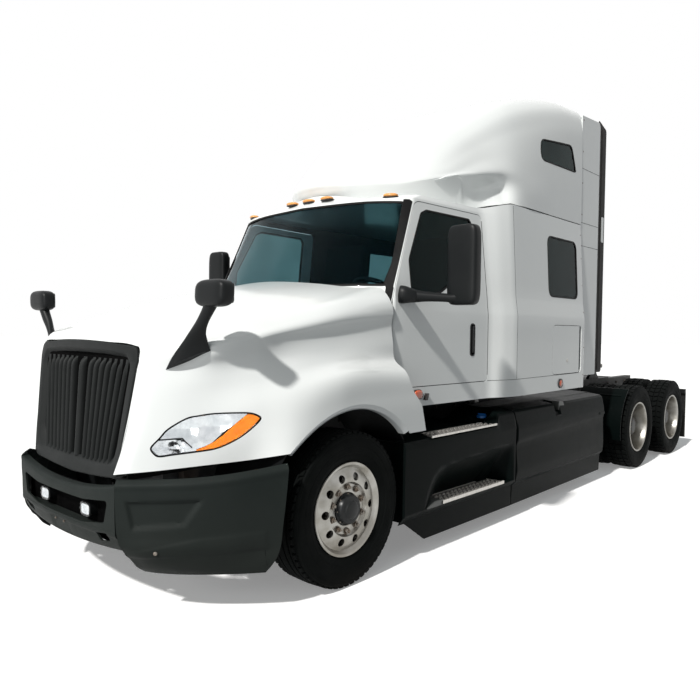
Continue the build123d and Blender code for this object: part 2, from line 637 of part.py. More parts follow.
# ---- hood ---------------------------------------------------------------------------------
# section: back, top, crown fullness, shoulder (across, up), valley, bulge, side across
HOOD = [
    (-1360, 1620, 1.4, 640, 1500, 640, 1400, 640, 1200, 640),
    (-1150, 1672, 1.4, 700, 1530, 720, 1370, 760, 1200, 800),
    (-850, 1780, 1.7, 960, 1560, 960, 1420, 1020, 1280, 1060),
    (-450, 1890, 2.1, 1020, 1635, 1010, 1430, 1120, 1340, 1195),
    (0, 1985, 2.8, 1048, 1705, 1040, 1480, 1130, 1400, 1222),
    (560, 2030, 8.0, 1062, 1765, 1060, 1500, 1120, 1390, 1222),
    (800, 2030, 8.0, 1062, 1765, 1060, 1500, 1120, 1390, 1222),
]
CROWN_STEPS = (0.45, 0.75, 0.92)
# half plan: across, back
HOOD_PLAN = [(0, -1262), (534, -1268), (612, -1306), (750, -1108), (880, -938), (1020, -692),
             (1205, -500), (1230, -420), (1230, 760), (1095, 760), (1075, 545), (1005, 545), (965, 548),
             (830, 442), (500, 325), (0, 275)]


def hood_form(shrink):
    with BuildPart() as form:
        for y, top, fullness, sx, sz, vx, vz, bx, bz, side_x in HOOD:
            crown = [(t * sx - shrink * t, top - (top - sz) * t ** fullness - shrink) for t in CROWN_STEPS]
            half = [(0, top - shrink), *crown, (sx - shrink, sz - shrink), (vx - shrink, vz),
                    (bx - shrink, bz - shrink), (side_x - shrink, bz - 120 - shrink / 2),
                    (side_x - shrink, 700 - 2 * shrink), (0, 700 - 2 * shrink)]
            add(outline(section(y), both(half)))
        loft(ruled=True)
    return form.part


# side view of the hood's lower edge and back edge: back, up
HOOD_SIDE = [(-1320, 840), (-1100, 865), (-690, 915), (-480, 945), (756, 945), (690, 1150), (600, 1215),
             (556, 1300), (540, 1395), (540, 2100), (-1190, 2100), (-1190, 1660), (-1212, 1590),
             (-1320, 880)]
ARCH = dict(y=24.0, z=458.0, radius=690.0)

# front view of the grille's frame: across, up
FRAME_OUT = [(0, 1573), (560, 1558), (612, 1535), (619, 1480), (540, 836), (505, 802), (0, 776)]
LAMP_OUTLINE = [(-1165, 995), (-1148, 945), (-1105, 933), (-940, 956), (-870, 966), (-812, 988), (-748, 1030),
                (-660, 1112), (-650, 1156), (-705, 1178), (-871, 1177), (-998, 1153), (-1081, 1095),
                (-1125, 1040)]
# side view of the space inside the nose: back, up
NOSE_INSIDE = [(-1296, 500), (-1296, 880), (-1188, 1590), (-1166, 1660), (-1166, 2100), (900, 2100),
               (900, 500)]
REAR_INSIDE = both([(0, -100), (1230 - PANEL, -100), (1230 - PANEL, 900), (0, 900)])
LAMP_DEPTH = 70.0
hood_outer = hood_form(0)
with BuildPart() as hood_space:
    add(prism(level(500), both(HOOD_PLAN), 1700, -PANEL))
    add(prism(level(500), REAR_INSIDE, 1700))
    add(hood_form(PANEL), mode=Mode.INTERSECT)
    add(prism(side(-1400), NOSE_INSIDE, 2800), mode=Mode.INTERSECT)

with BuildPart() as hood:
    add(hood_outer)
    add(prism(level(600), both(HOOD_PLAN), 1600), mode=Mode.INTERSECT)
    add(hood_space.part, mode=Mode.SUBTRACT)
    add(prism(side(-1400), HOOD_SIDE, 2800), mode=Mode.INTERSECT)
    with BuildSketch(side(-1400)):
        with Locations((ARCH["y"], ARCH["z"])):
            Circle(ARCH["radius"])
    extrude(amount=2800, mode=Mode.SUBTRACT)
    for start_x in (-1400, 650):
        add(prism(side(start_x), LAMP_OUTLINE, 750, 3), mode=Mode.SUBTRACT)
    add(prism(section(-1400), both(FRAME_OUT), -400, 3), mode=Mode.SUBTRACT)
write(hood, "hood")

with BuildPart() as headlights:
    add(hood_outer)
    add(prism(level(600), both(HOOD_PLAN), 1600), mode=Mode.INTERSECT)
    with BuildPart(mode=Mode.PRIVATE) as behind_lamp:
        add(hood_form(LAMP_DEPTH))
        add(prism(level(500), both(HOOD_PLAN), 1700, -LAMP_DEPTH), mode=Mode.INTERSECT)
    add(behind_lamp.part, mode=Mode.SUBTRACT)
    add(prism(side(650), LAMP_OUTLINE, 750), mode=Mode.INTERSECT)
    mirror(about=Plane.YZ)
write(headlights, "headlights")

FRAME_IN = [(0, 1495), (500, 1480), (535, 1440), (470, 905), (445, 880), (0, 862)]
SLAB = [(-1268, 760), (-1214, 1580), (-1155, 1580), (-1208, 760)]
SLATS = 14
SLAT_PITCH = 66.0
SLAT_WIDTH = 30.0
with BuildPart() as grille:
    add(prism(section(-1400), both(FRAME_OUT), -400))
    add(prism(section(-1400), both(FRAME_IN), -400), mode=Mode.SUBTRACT)
    for i in range(SLATS):
        slat_x = (i - (SLATS - 1) / 2) * SLAT_PITCH
        slat = [(slat_x - SLAT_WIDTH / 2, 850), (slat_x + SLAT_WIDTH / 2, 850),
                (slat_x + SLAT_WIDTH / 2, 1510), (slat_x - SLAT_WIDTH / 2, 1510)]
        push(section(-1400), slat, -400)
    add(prism(side(-700), SLAB, 1400), mode=Mode.INTERSECT)
write(grille, "grille")

with BuildPart() as hood_mirrors:
    push(section(-1040), [(1010, 1740), (1185, 1740), (1195, 1925), (1000, 1925)], -110)
    add(tube((850, -1010, 1540), (1090, -985, 1800), 34))
    add(tube((800, -1015, 1490), (855, -1010, 1545), 60))
    add(hood_outer, mode=Mode.SUBTRACT)
    mirror(about=Plane.YZ)
write(hood_mirrors, "hood_mirrors")

# ---- bumper -------------------------------------------------------------------------------
SEAM_X = 616.0
BUMPER_PLAN = [(0, -1350), (300, -1345), (SEAM_X - 2, -1316), (SEAM_X - 2, -1240), (300, -1262), (0, -1266)]
BUMPER_FACE = [(0, 385), (400, 388), (SEAM_X, 404), (SEAM_X, 805), (540, 800), (0, 727)]
FOG_OPENING = [(-400, 525), (400, 525), (400, 655), (-400, 655)]
FOG_X = 268.0
with BuildPart() as bumper_center:
    add(prism(level(300), both(BUMPER_PLAN), 600))
    add(prism(section(-1400), both(BUMPER_FACE), -400), mode=Mode.INTERSECT)
    add(prism(section(-1400), FOG_OPENING, -400), mode=Mode.SUBTRACT)
    for start_x in (-425, 355):
        push(side(start_x), [(-RAIL_WEB + RAIL_FRONT_Y + 10, 800), (RAIL_FRONT_Y, 760), (-1264, 560),
                             (-1264, 660)], 70)
write(bumper_center, "bumper_center")

# plan of the left bumper end at three heights: across, back
END_PLANS = {
    280.0: [(618, -1120), (850, -985), (1010, -820), (1130, -655), (1090, -640), (960, -790), (820, -930),
            (618, -1050)],
    430.0: [(618, -1295), (890, -1065), (1040, -850), (1190, -600), (1140, -590), (990, -820), (850, -1000),
            (618, -1210)],
    890.0: [(618, -1318), (900, -1080), (1050, -860), (1208, -560), (1150, -556), (1000, -830), (860, -1010),
            (618, -1225)],
}
END_FACE = [(600, 250), (1230, 250), (1230, 888), (1200, 886), (1050, 860), (900, 835), (600, 803)]
with BuildPart() as bumper_ends:
    for low, high in ((280.0, 430.0), (430.0, 890.0)):
        add(outline(level(low), END_PLANS[low]))
        add(outline(level(high), END_PLANS[high]))
        loft(ruled=True)
    add(prism(section(-1400), END_FACE, -1000), mode=Mode.INTERSECT)
    push(level(600), [(RAIL_X, -1128), (RAIL_X, -1040), (700, -1130), (700, -1180)], 60)
    mirror(about=Plane.YZ)
write(bumper_ends, "bumper_ends")

with BuildPart() as fog_lamps:
    for sign in (-1, 1):
        lamp = [(sign * (FOG_X - 65), 545), (sign * (FOG_X + 65), 545), (sign * (FOG_X + 65), 635),
                (sign * (FOG_X - 65), 635)]
        push(section(-1312), lamp, -55)
write(fog_lamps, "fog_lamps")

# ---- side fairings and steps --------------------------------------------------------------
STEP_PLAN = [(1205, 528), (1205, 2140), (960, 2140), (960, 610), (1160, 606)]
STEP_HOLLOW = [(1180, 590), (1180, 2116), (940, 2116), (940, 634), (1150, 630)]
STEP_LOW = 110.0
STEP_TOP = 868.0
SCOOP = [(960, 349), (1975, 349), (1975, 690), (1500, 640), (1120, 510)]
TANK_PLAN = [(1205, 2205), (1165, 4270), (1000, 4270), (1000, 2205)]
TANK_HOLLOW = [(1181, 2229), (1142, 4246), (980, 4246), (980, 2229)]
TANK_LOW = 140.0
TANK_FACE = [(900, 120), (1230, 120), (1230, 880), (1130, 1006), (900, 1006)]
TANK_FACE_IN = [(900, 100), (1230, 100), (1200, 870), (1120, 982), (900, 982)]
with BuildPart() as side_fairings:
    add(prism(level(STEP_LOW), STEP_PLAN, STEP_TOP - STEP_LOW))
    add(prism(level(STEP_LOW - 10), STEP_HOLLOW, STEP_TOP - STEP_LOW - 12), mode=Mode.SUBTRACT)
    add(prism(side(1100), SCOOP, 200), mode=Mode.SUBTRACT)
    for bar_y in (800, 1900):
        push(level(760), [(BOX["outer"], bar_y), (1185, bar_y), (1185, bar_y + 40), (BOX["outer"], bar_y + 40)], 40)
    with BuildPart(mode=Mode.PRIVATE) as tank_cover:
        add(prism(level(TANK_LOW), TANK_PLAN, 900))
        add(prism(section(2100), TANK_FACE, -2300), mode=Mode.INTERSECT)
        with BuildPart(mode=Mode.PRIVATE) as hollow:
            add(prism(level(TANK_LOW - 20), TANK_HOLLOW, 900))
            add(prism(section(2100), TANK_FACE_IN, -2300), mode=Mode.INTERSECT)
        add(hollow.part, mode=Mode.SUBTRACT)
        for bar_y in (2300, 4100):
            push(level(895), [(RAIL_X, bar_y), (1170, bar_y), (1170, bar_y + 40), (RAIL_X, bar_y + 40)], 40)
    add(tank_cover.part)
    mirror(about=Plane.YZ)
write(side_fairings, "side_fairings")

with BuildPart() as step_treads:
    push(level(350), [(1035, 1080), (1203, 1080), (1203, 1955), (1035, 1955)], 30)
    push(level(STEP_TOP), [(1050, 840), (1205, 840), (1205, 1816), (1050, 1816)], 18)
    mirror(about=Plane.YZ)
write(step_treads, "step_treads")
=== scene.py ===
"""Looks of a long-nosed highway tractor with a high-roof sleeper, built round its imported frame.

Metres. +Z is up, the nose points to -Y, +X is the truck's left-hand side. Places along the truck
are given from the front axle, as the truck's own drawings give them, and at() turns them into the
frame's coordinates.
"""
import math

import bmesh
import bpy
import numpy as np
from mathutils import Matrix, Vector
from mathutils.bvhtree import BVHTree


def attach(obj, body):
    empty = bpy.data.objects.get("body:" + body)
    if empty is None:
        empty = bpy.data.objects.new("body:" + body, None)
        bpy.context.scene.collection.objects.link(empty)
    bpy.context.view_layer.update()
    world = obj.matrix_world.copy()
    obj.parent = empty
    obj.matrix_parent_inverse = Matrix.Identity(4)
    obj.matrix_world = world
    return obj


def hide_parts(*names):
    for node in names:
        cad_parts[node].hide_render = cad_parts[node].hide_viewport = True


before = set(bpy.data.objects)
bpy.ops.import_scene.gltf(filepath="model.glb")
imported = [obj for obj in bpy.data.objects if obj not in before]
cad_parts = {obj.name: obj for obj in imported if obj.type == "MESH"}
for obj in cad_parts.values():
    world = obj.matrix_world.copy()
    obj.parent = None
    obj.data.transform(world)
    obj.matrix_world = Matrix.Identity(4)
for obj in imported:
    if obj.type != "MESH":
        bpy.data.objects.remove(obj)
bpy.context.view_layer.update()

# ---- studio ---------------------------------------------------------------------------------
# A pale floor under a white room, one high key lamp ahead of the truck and a wide soft fill.
# The camera stands at eye height, ahead of the truck's left front corner.
FRONT_AXLE_Y = -2.961


def at(x, y, z):
    """A place measured from the front axle, in the frame's coordinates."""
    return Vector((x, y + FRONT_AXLE_Y, z))


CAMERA_PLACE = at(3.9617, -3.1199, 1.6607)
CAMERA_YAW = 0.73197
CAMERA_PITCH = -0.031887
CAMERA_ROLL = 0.012876
CAMERA_LENS = 33.877        # mm, on a 36 mm wide sensor

look = Vector((-math.sin(CAMERA_YAW) * math.cos(CAMERA_PITCH),
               math.cos(CAMERA_YAW) * math.cos(CAMERA_PITCH), math.sin(CAMERA_PITCH)))
level_right = Vector((math.cos(CAMERA_YAW), math.sin(CAMERA_YAW), 0))
level_up = level_right.cross(look)
right = level_right * math.cos(CAMERA_ROLL) + level_up * math.sin(CAMERA_ROLL)
up = level_up * math.cos(CAMERA_ROLL) - level_right * math.sin(CAMERA_ROLL)
camera_data = bpy.data.cameras.new("camera")
camera_data.sensor_width = 36
camera_data.lens = CAMERA_LENS
camera_data.clip_end = 200
camera = bpy.data.objects.new("camera", camera_data)
camera.matrix_world = Matrix.Translation(CAMERA_PLACE) @ Matrix((right, up, -look)).transposed().to_4x4()
bpy.context.scene.collection.objects.link(camera)
bpy.context.scene.camera = camera
bpy.context.scene.view_settings.view_transform = "Standard"


def lamp(name, kind, energy, place, target, size, colour=(1, 1, 1)):
    """A lamp at a place, turned to face a target."""
    data = bpy.data.lights.new(name, kind)
    data.energy = energy
    data.color = colour
    if kind == "SUN":
        data.angle = size
    else:
        data.size = size
    holder = bpy.data.objects.new(name, data)
    turn = (target - place).to_track_quat("-Z", "Y").to_matrix().to_4x4()
    holder.matrix_world = Matrix.Translation(place) @ turn
    bpy.context.scene.collection.objects.link(holder)


KEY_DIRECTION = Vector((-0.1, 0.72, -0.68))
lamp("key", "SUN", 3.95, at(0, 0, 9) - KEY_DIRECTION, at(0, 0, 9), math.radians(2.5), (1.0, 0.98, 0.95))
lamp("front_fill", "AREA", 330, at(3.0, -10.0, 3.0), at(0, 0, 1.2), 6, (1.0, 0.99, 0.97))


def node(tree, kind, **inputs):
    """A shader node with its inputs set by name."""
    made = tree.nodes.new(kind)
    for key, value in inputs.items():
        made.inputs[key.replace("_", " ")].default_value = value
    return made


def seen_by_camera(tree):
    """1 for a ray that shows the backdrop: from the camera, or through gloss or glass."""
    path = tree.nodes.new("ShaderNodeLightPath")
    seen = path.outputs["Is Camera Ray"]
    for ray in ("Is Glossy Ray", "Is Transmission Ray"):
        either = tree.nodes.new("ShaderNodeMath")
        either.operation = "MAXIMUM"
        tree.links.new(seen, either.inputs[0])
        tree.links.new(path.outputs[ray], either.inputs[1])
        seen = either.outputs[0]
    return seen


def send_out(tree, lighting, shown, kind):
    """Output one shader to the rays that light the truck and another to those that show it."""
    mix = tree.nodes.new("ShaderNodeMixShader")
    output = tree.nodes.new(kind)
    tree.links.new(seen_by_camera(tree), mix.inputs[0])
    tree.links.new(lighting.outputs[0], mix.inputs[1])
    tree.links.new(shown.outputs[0], mix.inputs[2])
    tree.links.new(mix.outputs[0], output.inputs[0])


world = bpy.data.worlds.new("studio")
world.use_nodes = True
bpy.context.scene.world = world
tree = world.node_tree
tree.nodes.clear()
sky = node(tree, "ShaderNodeBackground", Color=(0.8, 0.88, 0.91, 1), Strength=0.205)
white = node(tree, "ShaderNodeBackground", Color=(1, 1, 1, 1), Strength=1.0)
send_out(tree, sky, white, "ShaderNodeOutputWorld")

floor_material = bpy.data.materials.new("floor")
floor_material.use_nodes = True
tree = floor_material.node_tree
tree.nodes.clear()
dull = node(tree, "ShaderNodeBsdfDiffuse", Color=(0.17, 0.18, 0.19, 1))
bright = node(tree, "ShaderNodeBsdfDiffuse", Color=(0.93, 0.93, 0.93, 1))
lift = node(tree, "ShaderNodeEmission", Color=(1, 1, 1, 1), Strength=0.22)
both = tree.nodes.new("ShaderNodeAddShader")
tree.links.new(bright.outputs[0], both.inputs[0])
tree.links.new(lift.outputs[0], both.inputs[1])
send_out(tree, dull, both, "ShaderNodeOutputMaterial")

FLOOR_REACH = 90
floor_mesh = bpy.data.meshes.new("floor")
floor_mesh.from_pydata([(-FLOOR_REACH, -FLOOR_REACH, 0), (FLOOR_REACH, -FLOOR_REACH, 0),
                        (FLOOR_REACH, FLOOR_REACH, 0), (-FLOOR_REACH, FLOOR_REACH, 0)], [], [(0, 1, 2, 3)])
floor_mesh.materials.append(floor_material)
floor = bpy.data.objects.new("floor", floor_mesh)
bpy.context.scene.collection.objects.link(floor)

# ---- chassis --------------------------------------------------------------------------------
# Two pressed steel channel rails with crossmembers bolted between them, axles on leaf and air
# springs, all sprayed with one coat of satin black chassis paint that gathers road dust.
def blank(name):
    """A new material with one Principled shader, and its tree and shader."""
    made = bpy.data.materials.new(name)
    made.use_nodes = True
    tree = made.node_tree
    tree.nodes.clear()
    shader = tree.nodes.new("ShaderNodeBsdfPrincipled")
    output = tree.nodes.new("ShaderNodeOutputMaterial")
    tree.links.new(shader.outputs[0], output.inputs[0])
    return made, tree, shader


def object_noise(tree, scale, detail=3.0, stretch=(1, 1, 1)):
    """Noise fixed to the piece; stretch draws it out along one direction, as brushing does."""
    place = tree.nodes.new("ShaderNodeTexCoord")
    mapping = tree.nodes.new("ShaderNodeMapping")
    mapping.inputs["Scale"].default_value = stretch
    noise = node(tree, "ShaderNodeTexNoise", Scale=scale, Detail=detail)
    tree.links.new(place.outputs["Object"], mapping.inputs[0])
    tree.links.new(mapping.outputs[0], noise.inputs["Vector"])
    return noise.outputs["Fac"]


def blend_colours(tree, factor, first, second, low=0.35, high=0.65):
    """A colour that runs from first to second, colours or sockets, as the factor climbs."""
    ramp = tree.nodes.new("ShaderNodeMapRange")
    ramp.inputs["From Min"].default_value = low
    ramp.inputs["From Max"].default_value = high
    mix = tree.nodes.new("ShaderNodeMix")
    mix.data_type = "RGBA"
    tree.links.new(factor, ramp.inputs[0])
    tree.links.new(ramp.outputs[0], mix.inputs[0])
    for socket, colour in ((mix.inputs[6], first), (mix.inputs[7], second)):
        if isinstance(colour, bpy.types.NodeSocket):
            tree.links.new(colour, socket)
        else:
            socket.default_value = (*colour, 1)
    return mix.outputs[2]


def height_above_ground(tree):
    """The height of a place on the piece, which dust from the road follows."""
    place = tree.nodes.new("ShaderNodeTexCoord")
    split = tree.nodes.new("ShaderNodeSeparateXYZ")
    tree.links.new(place.outputs["Object"], split.inputs[0])
    return split.outputs["Z"]


def ior_for(specular):
    """The index of refraction whose straight-on reflection matches a specular level."""
    root = math.sqrt(0.08 * specular)
    return (1 + root) / (1 - root)


def finish(name, colour, patch_colour, patch=1.5, rough=(0.3, 0.4), metal=0.0, coat=0.0, grain=0.0,
           grain_size=700.0, stretch=(1, 1, 1), dust=None, specular=0.5):
    """A coat or a bare surface: mottled colour, uneven gloss, fine grain and dust low down."""
    made, tree, shader = blank(name)
    colour_out = blend_colours(tree, object_noise(tree, patch, 4.0, stretch), colour, patch_colour)
    if dust:
        dust_top, dust_colour = dust
        colour_out = blend_colours(tree, height_above_ground(tree), dust_colour, colour_out, 0.0, dust_top)
    tree.links.new(colour_out, shader.inputs["Base Color"])
    gloss = tree.nodes.new("ShaderNodeMapRange")
    gloss.inputs["To Min"].default_value, gloss.inputs["To Max"].default_value = rough
    tree.links.new(object_noise(tree, patch * 5, 3.0, stretch), gloss.inputs[0])
    tree.links.new(gloss.outputs[0], shader.inputs["Roughness"])
    shader.inputs["Metallic"].default_value = metal
    shader.inputs["IOR"].default_value = ior_for(specular)
    shader.inputs["Coat Weight"].default_value = coat
    shader.inputs["Coat Roughness"].default_value = 0.04
    if grain:
        bump = node(tree, "ShaderNodeBump", Strength=1.0, Distance=grain)
        tree.links.new(object_noise(tree, grain_size, 2.0, stretch), bump.inputs["Height"])
        tree.links.new(bump.outputs[0], shader.inputs["Normal"])
    return made


def clad(material, *nodes):
    """Give frame nodes whose shape is right their finish."""
    for name in nodes:
        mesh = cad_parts[name].data
        mesh.materials.clear()
        mesh.materials.append(material)


ROAD_DUST = (0.026, 0.025, 0.023)
frame_paint = finish("frame_paint", (0.006, 0.0065, 0.007), (0.012, 0.012, 0.012), 3.0, (0.35, 0.6),
                     grain=0.0006, grain_size=90, dust=(0.9, ROAD_DUST), specular=0.2)
spring_steel = finish("spring_steel", (0.03, 0.028, 0.026), (0.055, 0.042, 0.032), 9.0, (0.45, 0.7),
                      metal=0.4, grain=0.0006, grain_size=160)
engine_paint = finish("engine_paint", (0.1, 0.105, 0.11), (0.06, 0.06, 0.06), 5.0, (0.45, 0.65),
                      grain=0.001, grain_size=60)
cooler_fins = finish("cooler_fins", (0.11, 0.115, 0.12), (0.05, 0.05, 0.052), 14.0, (0.4, 0.6), metal=0.7,
                     grain=0.002, grain_size=12, stretch=(1, 1, 40))
bellows_rubber = finish("bellows_rubber", (0.018, 0.018, 0.018), (0.03, 0.029, 0.028), 6.0, (0.6, 0.8),
                        grain=0.002, grain_size=8, stretch=(0, 0, 6))
clad(frame_paint, "chassis_frame", "drive_axles", "fifth_wheel_base", "rear_suspension")
clad(spring_steel, "front_axle", "knuckle_left", "knuckle_right")
clad(engine_paint, "engine")
clad(cooler_fins, "radiator")
clad(bellows_rubber, "air_springs")

FRAME_BOLT_PITCH = 0.33
FRAME_BOLTS = 25
RAIL_FACE_X = 0.432


def new_piece(name, vertices, faces, materials):
    """A mesh object at the origin, with its place in its vertices."""
    mesh = bpy.data.meshes.new(name)
    mesh.from_pydata([tuple(v) for v in vertices], [], faces)
    for material in materials:
        mesh.materials.append(material)
    made = bpy.data.objects.new(name, mesh)
    bpy.context.scene.collection.objects.link(made)
    return made


def tidy(piece, crease=32):
    """Merge doubles, face outwards, and shade smooth except over sharp edges."""
    mesh = piece.data
    work = bmesh.new()
    work.from_mesh(mesh)
    bmesh.ops.remove_doubles(work, verts=work.verts, dist=1e-5)
    bmesh.ops.dissolve_degenerate(work, dist=1e-5, edges=work.edges)
    bmesh.ops.recalc_face_normals(work, faces=work.faces)
    for face in work.faces:
        face.smooth = True
    for edge in work.edges:
        edge.smooth = len(edge.link_faces) == 2 and edge.calc_face_angle(0) < math.radians(crease)
    work.to_mesh(mesh)
    work.free()
    return piece


def swept(name, sections, material=None, closed=False):
    """A solid through a row of closed sections with equal numbers of points."""
    size = len(sections[0])
    vertices = [place for section in sections for place in section]
    faces = []
    for i in range(len(sections) if closed else len(sections) - 1):
        a = i * size
        b = (i + 1) % len(sections) * size
        faces += [(a + k, a + (k + 1) % size, b + (k + 1) % size, b + k) for k in range(size)]
    if not closed:
        faces += [tuple(reversed(range(size))), tuple(range(len(vertices) - size, len(vertices)))]
    return tidy(new_piece(name, vertices, faces, [material] if material else []))


def spun(name, profile, steps, material):
    """A turned part: a profile (along x, radius), closed on itself, spun round the X axis."""
    angles = [math.tau * i / steps for i in range(steps)]
    return swept(name, [[(x, -r * math.sin(angle), r * math.cos(angle)) for x, r in profile]
                        for angle in angles], material, closed=True)


def repeat_tree():
    """Geometry Nodes: copies of one shape, each turned and moved on by a fixed step."""
    made = bpy.data.node_groups.new("repeat_shape", "GeometryNodeTree")
    for name, kind in (("Geometry", "Geometry"), ("Shape", "Object"), ("Count", "Int"), ("Step", "Vector"),
                       ("Turn", "Vector"), ("Material", "Material")):
        made.interface.new_socket(name, in_out="INPUT", socket_type=f"NodeSocket{kind}")
    made.interface.new_socket("Geometry", in_out="OUTPUT", socket_type="NodeSocketGeometry")
    given = made.nodes.new("NodeGroupInput").outputs
    result = made.nodes.new("NodeGroupOutput").inputs
    points = made.nodes.new("GeometryNodePoints")
    index = made.nodes.new("GeometryNodeInputIndex")
    shape = made.nodes.new("GeometryNodeObjectInfo")
    copies = made.nodes.new("GeometryNodeInstanceOnPoints")
    turned = made.nodes.new("ShaderNodeVectorMath")
    moved = made.nodes.new("ShaderNodeVectorMath")
    turned.operation = moved.operation = "SCALE"
    real = made.nodes.new("GeometryNodeRealizeInstances")
    coat = made.nodes.new("GeometryNodeSetMaterial")
    for leaving, entering in (
            (given["Count"], points.inputs["Count"]), (given["Step"], moved.inputs[0]),
            (index.outputs[0], moved.inputs["Scale"]), (moved.outputs[0], points.inputs["Position"]),
            (given["Turn"], turned.inputs[0]), (index.outputs[0], turned.inputs["Scale"]),
            (given["Shape"], shape.inputs["Object"]), (points.outputs[0], copies.inputs["Points"]),
            (shape.outputs["Geometry"], copies.inputs["Instance"]),
            (turned.outputs[0], copies.inputs["Rotation"]), (copies.outputs[0], real.inputs[0]),
            (real.outputs[0], coat.inputs[0]), (given["Material"], coat.inputs["Material"]),
            (coat.outputs[0], result[0])):
        made.links.new(leaving, entering)
    return made


REPEAT = repeat_tree()


def repeated(name, shape, count, material, step=(0, 0, 0), turn=(0, 0, 0), place=(0, 0, 0)):
    """A plain mesh of count copies of a shape, moved to its place; the shape itself is removed."""
    holder = new_piece(name, [(0, 0, 0)], [], [material])
    modifier = holder.modifiers.new("repeat", "NODES")
    modifier.node_group = REPEAT
    sockets = {item.name: item.identifier for item in REPEAT.interface.items_tree if item.in_out == "INPUT"}
    modifier[sockets["Shape"]] = shape
    modifier[sockets["Count"]] = count
    modifier[sockets["Step"]] = step
    modifier[sockets["Turn"]] = turn
    modifier[sockets["Material"]] = material
    bpy.context.view_layer.update()
    evaluated = holder.evaluated_get(bpy.context.evaluated_depsgraph_get())
    mesh = bpy.data.meshes.new_from_object(evaluated)
    holder.modifiers.remove(modifier)
    holder.data = mesh
    mesh.transform(Matrix.Translation(place))
    bpy.data.objects.remove(shape)
    return holder


def joined(name, pieces):
    """One object from several, keeping each one's materials."""
    work = bmesh.new()
    materials = []
    for piece in pieces:
        start = len(work.faces)
        work.from_mesh(piece.data)
        work.faces.ensure_lookup_table()
        slots = []
        for material in piece.data.materials:
            if material not in materials:
                materials.append(material)
            slots.append(materials.index(material))
        for face in work.faces[start:]:
            face.material_index = slots[face.material_index]
    made = new_piece(name, [], [], materials)
    work.to_mesh(made.data)
    work.free()
    for piece in pieces:
        bpy.data.objects.remove(piece)
    return made


def hex_head(name, across, height, material):
    """A bolt head with its washer, standing on x = 0 and pointing to +X."""
    # along x, radius, and how much nearer every other point is: a washer is round, a head six-sided
    rings = [(0.0, across * 0.72, 1), (height * 0.2, across * 0.72, 1), (height * 0.2, across * 0.55, 0.87),
             (height * 0.85, across * 0.55, 0.87), (height, across * 0.44, 0.87)]
    sections = []
    for x, radius, between in rings:
        reaches = [radius * (between if k % 2 else 1) for k in range(12)]
        sections.append([(x, reach * math.cos(math.tau * k / 12), reach * math.sin(math.tau * k / 12))
                         for k, reach in enumerate(reaches)])
    return swept(name, sections, material)


bolts = []
for sign in (-1, 1):
    for height in (0.83, 0.94):
        head = hex_head("bolt", 0.026, 0.016, spring_steel)
        if sign < 0:
            head.data.transform(Matrix.Rotation(math.pi, 4, "Z"))
        bolts.append(repeated("bolts", head, FRAME_BOLTS, spring_steel, (0, FRAME_BOLT_PITCH, 0),
                              place=at(sign * RAIL_FACE_X, -0.95, height)))
rail_bolts = joined("rail_bolts", bolts)
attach(rail_bolts, "root")

# ---- tyres ----------------------------------------------------------------------------------
# 11R22.5 truck tyres: rib tread on the steered axle, four rows of blocks on the driven ones.
# Black rubber moulded with decor ribs on the wall, greyed by dust where it meets the road.
HUB_Z = 0.505
DRIVE_AXLES = {"front": 5.28, "back": 6.6}
TYRE_STEPS = 112
tyre_rubber = finish("tyre_rubber", (0.0035, 0.0042, 0.004), (0.006, 0.0068, 0.0066), 2.5, (0.55, 0.8),
                     grain=0.0008, grain_size=220, dust=(0.14, (0.01, 0.0095, 0.0085)), specular=0.03)
# half section of the wall: distance from the middle, radius
WALL = [(0.134, 0.48), (0.1385, 0.466), (0.1368, 0.462), (0.1405, 0.448), (0.1425, 0.43), (0.1425, 0.412),
        (0.1405, 0.409), (0.1415, 0.404), (0.141, 0.385), (0.138, 0.365), (0.1352, 0.362), (0.1345, 0.352),
        (0.129, 0.335), (0.12, 0.316), (0.1175, 0.309), (0.113, 0.306), (0.108, 0.2866)]
RIB_TREAD = [(0, 0.505), (0.026, 0.5045), (0.028, 0.491), (0.036, 0.491), (0.038, 0.504), (0.07, 0.5025),
             (0.072, 0.489), (0.08, 0.489), (0.082, 0.501), (0.094, 0.5), (0.096, 0.489), (0.126, 0.486)]
BLOCK_TREAD = [(0, 0.488), (0.06, 0.487), (0.126, 0.483)]


def tread_block(half_length, half_width, low, high, skew):
    """One block of tread at the top of a tyre, with chamfered edges."""
    corners = [(-1, -1), (1, -1), (1, 1), (-1, 1)]
    return swept("block", [[(a * (half_width - shrink), b * (half_length - shrink) + a * skew, radius)
                            for a, b in corners]
                           for shrink, radius in ((0, low), (0, high - 0.004), (0.003, high))], tyre_rubber)


def tyre(name, middle_x, tread, rows):
    """A tyre round the X axis: a spun carcass and rows of blocks copied round it."""
    half = tread + WALL
    loop = [(middle_x + x, r) for x, r in half] + [(middle_x - x, r) for x, r in reversed(half) if x > 0]
    parts = [spun("carcass", loop, TYRE_STEPS, tyre_rubber)]
    for x, width, count, fill, high, skew in rows:
        block = tread_block(math.pi * high / count * fill, width / 2, high - 0.02, high, skew)
        block.data.transform(Matrix.Translation((middle_x + x, 0, 0)))
        parts.append(repeated("blocks", block, count, tyre_rubber, turn=(math.tau / count, 0, 0)))
    return joined(name, parts)


def put_on_axle(piece, side_sign, axle_y):
    """Move a wheel piece from the X axis to its axle, mirrored for the right-hand side."""
    mirror = Matrix.Diagonal((side_sign, 1, 1, 1))
    piece.data.transform(Matrix.Translation(at(0, axle_y, HUB_Z)) @ mirror)
    return tidy(piece, 30)


